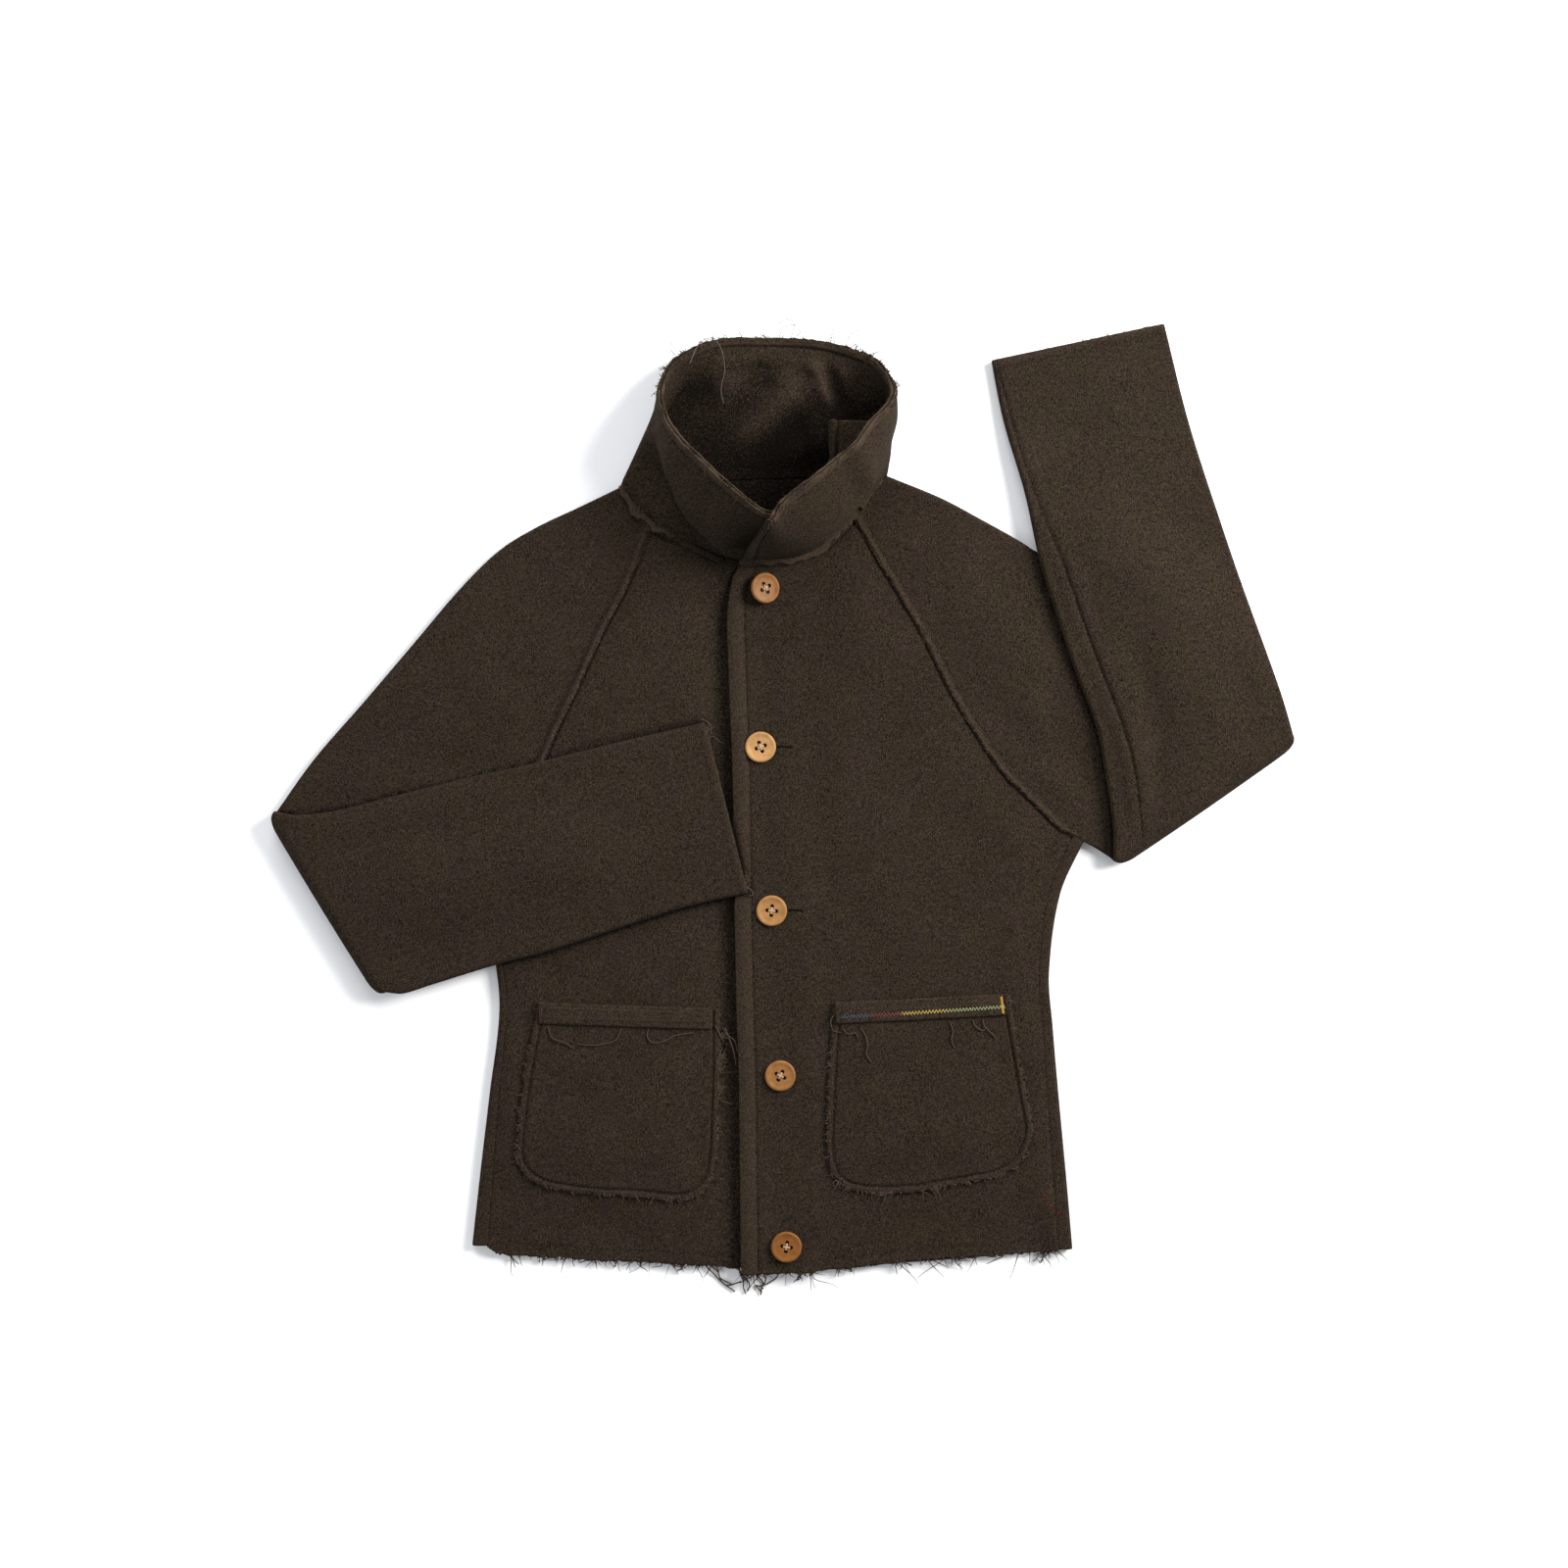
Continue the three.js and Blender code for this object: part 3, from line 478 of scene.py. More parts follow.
# Wool between two colours: the felted group drives the colour and a bump of 0.8 mm.
def woolMaterial(name, dark, light):
    made = plainMaterial(name, light, 0.95, 0.03)
    tree = made.node_tree
    shader = tree.nodes["Principled BSDF"]
    setInputs(shader, Sheen_Weight=0.012, Sheen_Roughness=0.55, Sheen_Tint=(0.8, 0.72, 0.62, 1))
    group = node(tree, "Group")
    group.node_tree = wool
    setInputs(group, Dark=(*dark, 1), Light=(*light, 1))
    bumps = node(tree, "Bump", Strength=0.55, Distance=0.0008)
    link = tree.links.new
    link(node(tree, "TexCoord").outputs["Object"], group.inputs["Vector"])
    link(attributeNode(tree, "edge"), group.inputs["WearAndShade"])
    link(group.outputs["Color"], shader.inputs["Base Color"])
    link(group.outputs["Height"], bumps.inputs["Height"])
    link(bumps.outputs["Normal"], shader.inputs["Normal"])
    return made


wool = woolGroup()
bodyWool = woolMaterial("bodyWool", (0.0034, 0.0024, 0.0021), (0.0438, 0.0290, 0.0228))
collarWool = woolMaterial("collarWool", (0.0038, 0.0026, 0.0022), (0.048, 0.0316, 0.0246))
slitShadeBlack = plainMaterial("slitShadeBlack", (0.003, 0.0022, 0.002), 1.0, 0.02)
fibreWool = plainMaterial("fibreWool", (0.052, 0.037, 0.027), 1.0, 0.03)
fibreLight = plainMaterial("fibreLight", (0.07, 0.05, 0.037), 1.0, 0.03)
fibreHem = plainMaterial("fibreHem", (0.034, 0.0235, 0.0165), 1.0, 0.03)


# A finished piece: its material, what it rides on and the solid it stands for; its slot is not used.
def finishPiece(piece, material, slot, *nodes):
    piece.data.materials.append(material)
    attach(piece, "root")
    if nodes:
        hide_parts(*nodes)
    return piece


# Fractions from 0 to 1 packed closer at the given spots: (place, half width, extra weight).
def pacing(count, spots):
    u = evenly(4001)
    weight = np.ones_like(u)
    for place, width, extra in spots:
        weight += extra * bell(u, place, width)
    total = np.concatenate([[0], np.cumsum((weight[1:] + weight[:-1]) / 2)])
    return np.interp(np.linspace(0, total[-1], count), total, u)


# A line moved sideways in plan, to its left for a positive shift.
def shifted(points, shift):
    p = np.asarray(points, float)
    way = unit(np.gradient(p, axis=0))
    return p + np.stack([-way[:, 1], way[:, 0]], axis=1) * shift


rightSide = {
    "fold": [
        [-252, -361], [-246, -307], [-238, -239], [-230, -172], [-233, -133], [-242, -90], [-254, -46],
    ],
    "seam": [12, 10, 7, 5, 5, 7, 10],
}
leftSide = {
    "fold": [[237, -364], [232, -306], [226, -242], [221, -184], [218, -140], [227, -76], [246, -33]],
    "seam": [11, 11, 9, 8, 8, 9, 10],
}
rightRaglan = [
    [-254, -46], [-238, -24], [-219, -4], [-197, 30], [-185, 58], [-169, 91], [-148, 137], [-125, 181],
    [-107, 228],
]
leftRaglan = [
    [246, -33], [227, -21], [211, -5], [186, 19], [165, 47], [137, 94], [114, 140], [86, 187], [59, 234],
]
backNeck = [[-94, 260], [-58, 261], [-22, 262], [10, 263], [42, 264]]
rightNeck = [[-107, 228], [-94, 219], [-73, 209], [-51, 199], [-34, 196], [6, 195]]
leftNeck = [[59, 234], [47, 221], [32, 207], [12, 198], [-6, 196], [-32, 196]]
rightHem = [
    [-240, -365], [-230, -368], [-206, -370], [-181, -371], [-156, -373], [-131, -374], [-106, -375],
    [-81, -377], [-56, -378], [-36, -380], [-12, -381], [14, -382],
]
leftHem = [
    [226, -365], [216, -366], [190, -368], [165, -370], [139, -371], [113, -373], [86, -376], [61, -379],
    [37, -381], [21, -383], [-6, -384], [-32, -384],
]
leftFrontEdge = [
    [-32, -384], [-33, -305], [-34, -220], [-36, -156], [-38, -34], [-39, 30], [-41, 79], [-42, 108],
    [-43, 150], [-39, 181], [-32, 196],
]
rightFrontEdge = [[14, -382], [7, -100], [3, 30], [-4, 150], [-1, 181], [6, 195]]


# A side fold at fractions up it: the fold in plan, the way inward, which turns to the raglan's over
# the top 30 %, and the seam's distance inside it.
def sideFold(side, raglan, q):
    fold = np.array(side["fold"], float)
    dense = along(fold, evenly(200))
    y = mix(fold[0, 1], fold[-1, 1], q)
    x = np.interp(y, dense[:, 1], dense[:, 0])
    seam = np.interp(y, fold[:, 1], side["seam"])
    inward = -np.sign(fold[0, 0])
    first = unit(np.subtract(raglan[1], raglan[0]))
    turn = ease((q - 0.7) / 0.3)[:, None]
    way = unit(mix(np.array([inward, 0.0]), first[None], turn))
    return np.stack([x, y], axis=1), way, seam


# The raglan seam from the side seam up: its points past the seam, after the one at the seam.
def raglanPart(side, raglan, seam):
    dense = along(raglan, evenly(120))
    reach = reachOf(dense)
    start = along(raglan, [seam / reach[-1]])
    return np.concatenate([start, dense[reach > seam + 4]])


rightSleeveForm = {
    "hand": 1,
    "seam": None,
    "neckPoint": [-131, 256],
    "neckStep": [-119, 240],
    "backStep": [-114, 258],
    "backCorner": [-94, 260],
    "raglan": rightRaglan,
    "fold": [[-411, -8], [-321, -155]],
    "outer": [
        [-131, 256], [-166, 239], [-198, 224], [-229, 205], [-261, 174], [-301, 127], [-341, 80],
        [-381, 34], [-411, -8],
    ],
    "under": [[-254, -46], [-291, -90], [-321, -155]],
    "outerBack": [
        [-411, -8], [-395, -11], [-364, -8], [-316, 4], [-260, 18], [-205, 30], [-141, 46], [-63, 64],
    ],
    "underBack": [
        [-321, -155], [-307, -156], [-284, -149], [-232, -133], [-189, -122], [-125, -101], [-77, -86],
        [-28, -75],
    ],
    "droop": 0,
    "upperFolds": [
        crease(30, 5, -175, 215, -215, 170, -270, 105, -330, 40),
        crease(15, -2.4, -212, 10, -258, 20, -306, 46),
        crease(20, 2.2, -200, 60, -240, 90, -268, 130),
        crease(16, 2.5, -300, -30, -330, 10, -372, 20),
    ],
    "lowerFolds": [
        crease(42, 5.5, -365, -60, -300, -62, -220, -45, -120, -20),
        crease(13, 2.4, -392, -20, -340, -18, -280, 0, -210, 16),
        crease(12, -2.2, -384, -42, -320, -30, -250, -14),
        crease(16, -1.6, -330, -130, -270, -118, -190, -98),
        crease(16, -1.2, -180, 20, -130, 20, -80, 40),
    ],
}
underarmSeam = [
    [174, 362], [182, 330], [194, 286], [210, 238], [228, 194], [244, 147], [258, 109], [272, 73],
    [284, 34], [290, -4], [294, -43],
]
leftSleeveForm = {
    "hand": -1,
    "seam": underarmSeam,
    "neckPoint": [86, 265],
    "neckStep": [72, 249],
    "backStep": [64, 264.3],
    "backCorner": [42, 264],
    "raglan": leftRaglan,
    "fold": [[415, 54], [269, -47]],
    "outer": [
        [86, 265], [130, 247], [162, 230], [194, 212], [208, 203], [249, 183], [301, 153], [361, 102],
        [415, 54],
    ],
    "under": [[246, -33], [257, -39], [269, -47]],
    "outerBack": [[415, 54], [407, 82], [392, 127], [360, 221], [332, 308], [312, 388]],
    "underBack": [
        [269, -47], [269, -22], [264, 14], [256, 58], [240, 101], [221, 157], [209, 197], [197, 252],
        [181, 308], [171, 358],
    ],
    "droop": 1,
    "upperFolds": [
        crease(26, 3.5, 120, 220, 160, 170, 205, 100, 232, 30),
        crease(12, -2.4, 214, 120, 226, 60, 246, 4),
        crease(15, -1.8, 150, 90, 190, 50, 226, 16),
        crease(11, 2.0, 170, 60, 208, 26, 238, -10),
    ],
    "lowerFolds": [
        crease(40, 5, 350, 20, 330, 90, 290, 200, 246, 330),
        crease(14, 3.4, 275, -30, 284, 30, 276, 90, 256, 150),
        crease(11, -2.6, 296, -24, 306, 20, 300, 80, 284, 130),
        crease(14, 2.2, 330, -2, 352, 40, 356, 90),
        crease(12, -1.4, 378, 34, 376, 80, 360, 130),
        crease(1.5, -1.8, underarmSeam, fade=False),
        crease(5.5, 1.8, np.add(underarmSeam, (-6, -1)), fade=False),
        crease(5, 1.0, np.add(underarmSeam, (5, 1)), fade=False),
    ],
}


# How far a plan point is inside a closed outline, negative outside: the distance to it, signed by
# counting the sides crossed on the way out.
def insideOf(outline, x, y):
    best = np.full(np.shape(x), 1e9)
    odd = np.zeros(np.shape(x), bool)
    for a, b in zip(outline, np.roll(outline, -1, axis=0)):
        best = np.minimum(best, np.hypot(*toSegment(a, b, x, y)[1:]))
        rise = b[1] - a[1]
        crosses = (a[1] > y) != (b[1] > y)
        odd ^= crosses & (x < a[0] + (y - a[1]) * (b[0] - a[0]) / (rise if abs(rise) > 1e-9 else 1e-9))
    return np.where(odd, best, -best)


# Where a turned-back lower sleeve lies on what is under it: 1 under it, easing to 0 from 0.5 mm
# inside its outline to 6 mm outside.
def pressed(form, x, y):
    t = evenly(24)
    outline = np.concatenate([along(form["outerBack"], t), along(form["underBack"], t[::-1])])
    return ease((insideOf(outline, x, y) + 6) / 6.5)


# The painted shadow line under the edges of a turned-back lower sleeve: a bell 0.6 mm outside them.
def underSleeveShadow(form, x, y):
    near = np.minimum(distanceTo(form["outerBack"], x, y), distanceTo(form["underBack"], x, y))
    return bell(near, 0.6, 1.1)


# Creases of the fronts, in plan.
rightFrontFolds = [
    crease(26, 2.2, -205, 20, -150, 5, -90, -4, -50, 0),
    crease(13, -2.6, -46, 190, -50, 120, -49, 40, -45, -40, soft=0.7),
    crease(22, 2.4, -62, 170, -70, 100, -66, 20),
    crease(30, 1.8, -120, 190, -110, 120, -112, 60),
    crease(26, 2.0, -100, -90, -80, -130, -84, -200),
    crease(10, -2.2, -42, -80, -40, -200, -38, -370, fade=False),
    crease(14, 1.4, -58, -100, -56, -220, -54, -360),
    crease(18, -1.2, -216, -120, -180, -140, -120, -150),
    crease(13, 1.6, -226, -200, -222, -260, -226, -330),
    crease(22, -1.4, -150, -325, -140, -350, -144, -380),
]
leftFrontFolds = [
    crease(24, 2.4, 60, 190, 62, 120, 50, 40, 46, -60),
    crease(15, -2.0, 20, 180, 18, 100, 22, 20, 28, -80),
    crease(26, 2.8, 150, 60, 110, 20, 86, -50, 80, -120),
    crease(22, -2.0, 196, 0, 160, -30, 140, -80, 138, -130),
    crease(18, 2.4, 205, -60, 190, -110, 196, -160, 204, -230),
    crease(16, -1.6, 120, 120, 96, 60, 70, 10),
    crease(12, -1.4, 16, -130, 12, -220, 14, -320),
    crease(12, 2.0, 214, -220, 208, -290, 214, -350),
    crease(20, -1.2, 110, -326, 120, -350, 116, -384),
]


# A ditch 2.1 mm deep in a front along the raw edges that lie on it: a bell 3 mm from the raglan
# seam and a shallower one 5.2 mm from the neck seam.
def seamDitch(form, x, y):
    first = bell(distanceTo(form["raglan"], x, y), 3.0, 1.4)
    second = bell(distanceTo(form["neck"], x, y), 5.2, 1.6)
    return 2.1 * np.maximum(first, 0.8 * second)


rightForm = {
    "raglan": rightRaglan, "neck": rightNeck[:4], "side": shifted(rightSide["fold"], -8.5),
    "hem": rightHem, "puff": 3.4, "seed": 11, "length": 120, "folds": rightFrontFolds,
}
leftForm = {
    "raglan": leftRaglan, "neck": leftNeck, "side": shifted(leftSide["fold"], 9.5),
    "hem": leftHem, "puff": 3.0, "seed": 21, "length": 130, "folds": leftFrontFolds,
}


# What shapes either front: the distance to the seams that join it to other layers, its lift onto
# two layers along them and the side, its swell in between, its creases and waves, and where no
# sleeve lies on it.
def frontShape(form, x, y):
    seams = np.minimum(distanceTo(form["raglan"], x, y), distanceTo(form["neck"], x, y))
    side = distanceTo(form["side"], x, y)
    lift = np.maximum(1 - ease((seams - 8) / 70), 1 - ease((side - 3) / 16))
    foot = ease((distanceTo(form["hem"], x, y) - 3) / 60)
    swell = form["puff"] * foot * ease(side / 22) * ease(seams / 40)
    soft = waves(x, y, form["seed"], form["length"], 0.5) + waves(x, y, form["seed"] + 1, 46, 0.22)
    creases = (folds(x, y, form["folds"]) + soft) * ease(side / 14) * ease(seams / 16)
    return seams, lift, swell, creases, 1 - pressed(rightSleeveForm, x, y)


# Height of the right front's underside anywhere in plan: no shape of its own under the left front,
# flat under the sleeve, never lower than one layer, less the ditch along the raw edges.
def rightFrontHeight(x, y):
    seams, lift, swell, creases, free = frontShape(rightForm, x, y)
    under = ease((x + 46) / 14)
    base = low + (high - low) * lift * (1 - under * 0.98)
    shaped = swell * ease((-40 - x) / 46) + creases * (1 - under)
    return np.maximum(base + shaped * free, low) - seamDitch(rightForm, x, y)


# The same for the left front, which lies on top at the front edge: it adds the folded strip, a sine
# arc across, with its stitched groove.
def leftFrontHeight(x, y):
    seams, lift, swell, creases, free = frontShape(leftForm, x, y)
    edge = distanceTo(leftFrontEdge, x, y)
    strip = 12.5
    band = 1.1 * np.sin(math.pi * np.clip(edge / strip, 0, 1)) * (edge < strip)
    groove = -2.0 * bell(edge, stripEdge, 0.9) - 0.6 * bell(edge, stripEdge, 3.5)
    base = low + (high - low) * np.maximum(lift, 1 - ease((x - 10) / 30))
    proud = 3.0 * (1 - ease((edge - 3) / 26)) * ease(seams / 24) + 0.8
    shaped = swell * ease((x + 20) / 50) + (band + groove) * mix(0.4, 1, free) + proud
    shaped += creases * ease((edge - 10) / 14)
    return np.maximum(base + shaped * mix(0.25, 1, free), low) - seamDitch(leftForm, x, y)


# A front's plan: a patch with its columns from side seam to front edge and its rows from hem to
# raglan and neck. Its head corners where the two seams meet, and its hem is ragged by 0.45 mm.
def frontPlan(side, raglan, neck, hem, frontEdge, columns, rows, corner):
    inward = -np.sign(side["fold"][0][0])
    at, way, seam = sideFold(side, raglan, rows)
    start = at + way * (seam + gap / 2)[:, None]
    first = shifted(raglanPart(side, raglan, seam[-1] + gap), -inward * gap / 2)
    second = shifted(neck, -inward * gap / 2)
    split = columns <= corner
    head = np.where(
        split[:, None],
        along(first, np.clip(columns / corner, 0, 1)),
        along(second, np.clip((columns - corner) / (1 - corner), 0, 1)),
    )
    start[-1] = head[0]
    hemLine = np.array(hem, float)
    hemLine[0] = start[0]
    foot = along(hemLine, columns)
    foot[1:-1, 1] += np.random.default_rng(17).normal(0, 0.45, len(columns) - 2)
    end = along(frontEdge, rows)
    end[0] = foot[-1]
    end[-1] = head[-1]
    return patch(foot, head, start, end, columns, rows)


# Outer and inner skins over a plan and the height of its underside: the outer one lies the cloth's
# thickness out along the upward normals.
def skins(plan, height, thickness):
    under = raised(plan, height)
    normal = normalsOf(under)
    normal *= np.sign(normal[..., 2:])
    return under + normal * thickness, under


# Painted light and shade of a front: a painted highlight along the folded strip of the front edge,
# painted shade as dark bells in its stitched groove, at the side seam, the foot of the raw edges and
# the hem's row of stitches, and a painted shadow under the sleeve.
def frontShading(plan, form, frontEdge, strip):
    x, y = flatOf(plan)
    edge = distanceTo(frontEdge, x, y)
    shadingAndWear = strip * (1 - ease((edge - 9.5) / 2))
    shadingAndWear -= 0.8 * (strip > 0) * bell(edge, stripEdge, 0.7)
    seam = np.abs(distanceTo(form["raglan"], x, y) - 2.9)
    seam = np.minimum(seam, np.abs(distanceTo(form["neck"], x, y) - 4.6))
    reach = np.hypot(x - x[:, :1], y - y[:, :1])
    shadingAndWear -= 1.2 * bell(reach, 0, 1.3) + 0.8 * bell(seam, 0, 0.9)
    rise = np.hypot(x - x[:1], y - y[:1])
    shadingAndWear -= 0.45 * bell(rise, 9, 0.9) * (0.5 + 0.5 * np.sin(x * 1.05))
    return shadingAndWear - 0.9 * underSleeveShadow(rightSleeveForm, x, y)


# A front over its plan, sunk in a bell at its side seam, and the surface midway between its skins.
def frontPiece(name, heightAt, plan, wearAndShade, *nodes):
    height = heightAt(*flatOf(plan))
    reach = np.hypot(plan[..., 0] - plan[:, :1, 0], plan[..., 1] - plan[:, :1, 1])
    height = height - 1.3 * bell(reach, 0, 1.9)
    outer, inner = skins(plan, height, cloth)
    piece = shell(name, outer, inner, wearAndShade)
    return finishPiece(piece, bodyWool, "wool", *nodes), (outer + inner) / 2


rows = pacing(176, [(0, 0.025, 3), (1, 0.03, 3)])
columns = pacing(146, [(0, 0.03, 3), (0.6, 0.02, 2), (1, 0.06, 5)])
rightPlan = frontPlan(rightSide, rightRaglan, rightNeck, rightHem, rightFrontEdge, columns, rows, 0.6)
wearAndShade = frontShading(rightPlan, rightForm, rightFrontEdge, 0.0)
# Painted shadow of the left front's overlapping edge, on the right front beside it.
wearAndShade -= 0.4 * (1 - ease(distanceTo(leftFrontEdge, *flatOf(rightPlan)) / 24))
rightFront, rightMid = frontPiece("rightFront", rightFrontHeight, rightPlan, wearAndShade, "right_front")
leftPlan = frontPlan(leftSide, leftRaglan, leftNeck, leftHem, leftFrontEdge, columns, rows, 0.6)
wearAndShade = frontShading(leftPlan, leftForm, leftFrontEdge, 0.31)
leftFront, leftMid = frontPiece("leftFront", leftFrontHeight, leftPlan, wearAndShade, "left_front")
print("fronts")


# Across a rolled edge from above to below: inset from the fold and height, on a half circle.
def rollArc(radius, count):
    angle = np.linspace(0, math.pi, count)
    return rollRadius - radius * np.sin(angle), rollRadius + radius * np.cos(angle)


# One skin of the back: a flat middle between its rolled sides, its hem in a sine arc 16 mm deep.
def backSkin(radius, flatHeight, rows, flat):
    inset, height = rollArc(radius, 17)

    # A side's rows over its roll: from the side seam inward on top, round the arc, to below.
    def rolled(side, raglan, q):
        at, way, seam = sideFold(side, raglan, q)
        near = (seam - gap / 2)[:, None]
        insets = np.concatenate([near, mix(near, rollRadius, 0.5), np.tile(inset, (len(q), 1))], axis=1)
        heights = np.concatenate([[height[0], height[0]], height])
        plan = at[:, None] + way[:, None] * insets[..., None]
        return raised(plan, np.broadcast_to(heights[None], insets.shape))

    right = rolled(rightSide, rightRaglan, rows)
    left = rolled(leftSide, leftRaglan, rows)[:, ::-1]
    start, end = right[:, -1, :2], left[:, 0, :2]
    up = raglanPart(rightSide, rightRaglan, rollRadius + 1)
    down = raglanPart(leftSide, leftRaglan, rollRadius + 1)[::-1]
    headPath = np.concatenate([start[-1:], up[1:], backNeck, down[:-1], end[-1:]])
    head = headPath[0] + 0 * flat[:, None]
    lengths = reachOf(headPath)
    for k in range(2):
        head[:, k] = np.interp(flat * lengths[-1], lengths, headPath[:, k])
    foot = mix(start[0], end[0], flat[:, None])
    hemDip = 16
    foot[:, 1] -= hemDip * np.sin(math.pi * flat)
    plan = patch(foot, head, start, end, flat, rows)
    middle = raised(plan, np.full(plan.shape[:2], float(flatHeight)))
    return np.concatenate([right, middle[:, 1:-1], left], axis=1)


rows = pacing(90, [(0, 0.02, 2), (1, 0.02, 2)])
flat = evenly(60)
backOuter = backSkin(rollRadius, 0, rows, flat)
backInner = backSkin(rollRadius - cloth, cloth, rows, flat)
# The back gets painted shade where it shows inside the collar.
neckShade = 1 - ease((np.abs(backInner[..., 0]) - 110) / 20)
neckShade *= -0.9 * ease((backInner[..., 1] - 180) / 40)
back = shell("back", backOuter, backInner, neckShade)
finishPiece(back, bodyWool, "wool", "back")
print("back")


arcCount = 12  # columns of a sleeve in each rolled edge, across its upper side and across its lower
topCount = 48
baseCount = 80
upperSleeve = slice(arcCount, arcCount + topCount)
cuffBase = slice(2 * arcCount + topCount, None)


# Columns round a flattened tube: inset from an edge or fraction across, height, and how much of
# the upper cloth's shape each takes.
def sleeveRing(radius):
    inset, height = rollArc(radius, arcCount)
    across = pacing(topCount + 2, [(0, 0.03, 1.5), (1, 0.03, 1.5)])[1:-1]
    below = pacing(baseCount + 2, [(0, 0.03, 1.5), (0.87, 0.09, 6), (1, 0.03, 1.5)])[1:-1]
    shape = 0.5 + 0.5 * np.cos(np.linspace(0, math.pi, arcCount))
    kinds = np.repeat([0, 1, 2, 3], [arcCount, topCount, arcCount, baseCount])
    top, foot = np.full(topCount, rollRadius + radius), np.full(baseCount, rollRadius - radius)
    insets = np.concatenate([inset[::-1], across, inset, below[::-1]])
    heights = np.concatenate([height[::-1], top, height, foot])
    shares = np.concatenate([shape[::-1], np.ones(topCount), shape, np.zeros(baseCount)])
    return kinds, insets, heights, shares


# Half a sleeve's plan between its two ends and its two edges: the ruled sheets each way, less the
# flat one through the corners.
def sleevePlan(begin, finish, outerPath, underPath, corners, q, fraction):
    outer = along(outerPath, q)[:, None]
    under = along(underPath, q)[:, None]
    q = q[:, None, None]
    fraction = fraction[..., None]
    flat = mix(mix(corners[0], corners[1], fraction), mix(corners[2], corners[3], fraction), q)
    return mix(begin[None], finish[None], q) + mix(outer, under, fraction) - flat
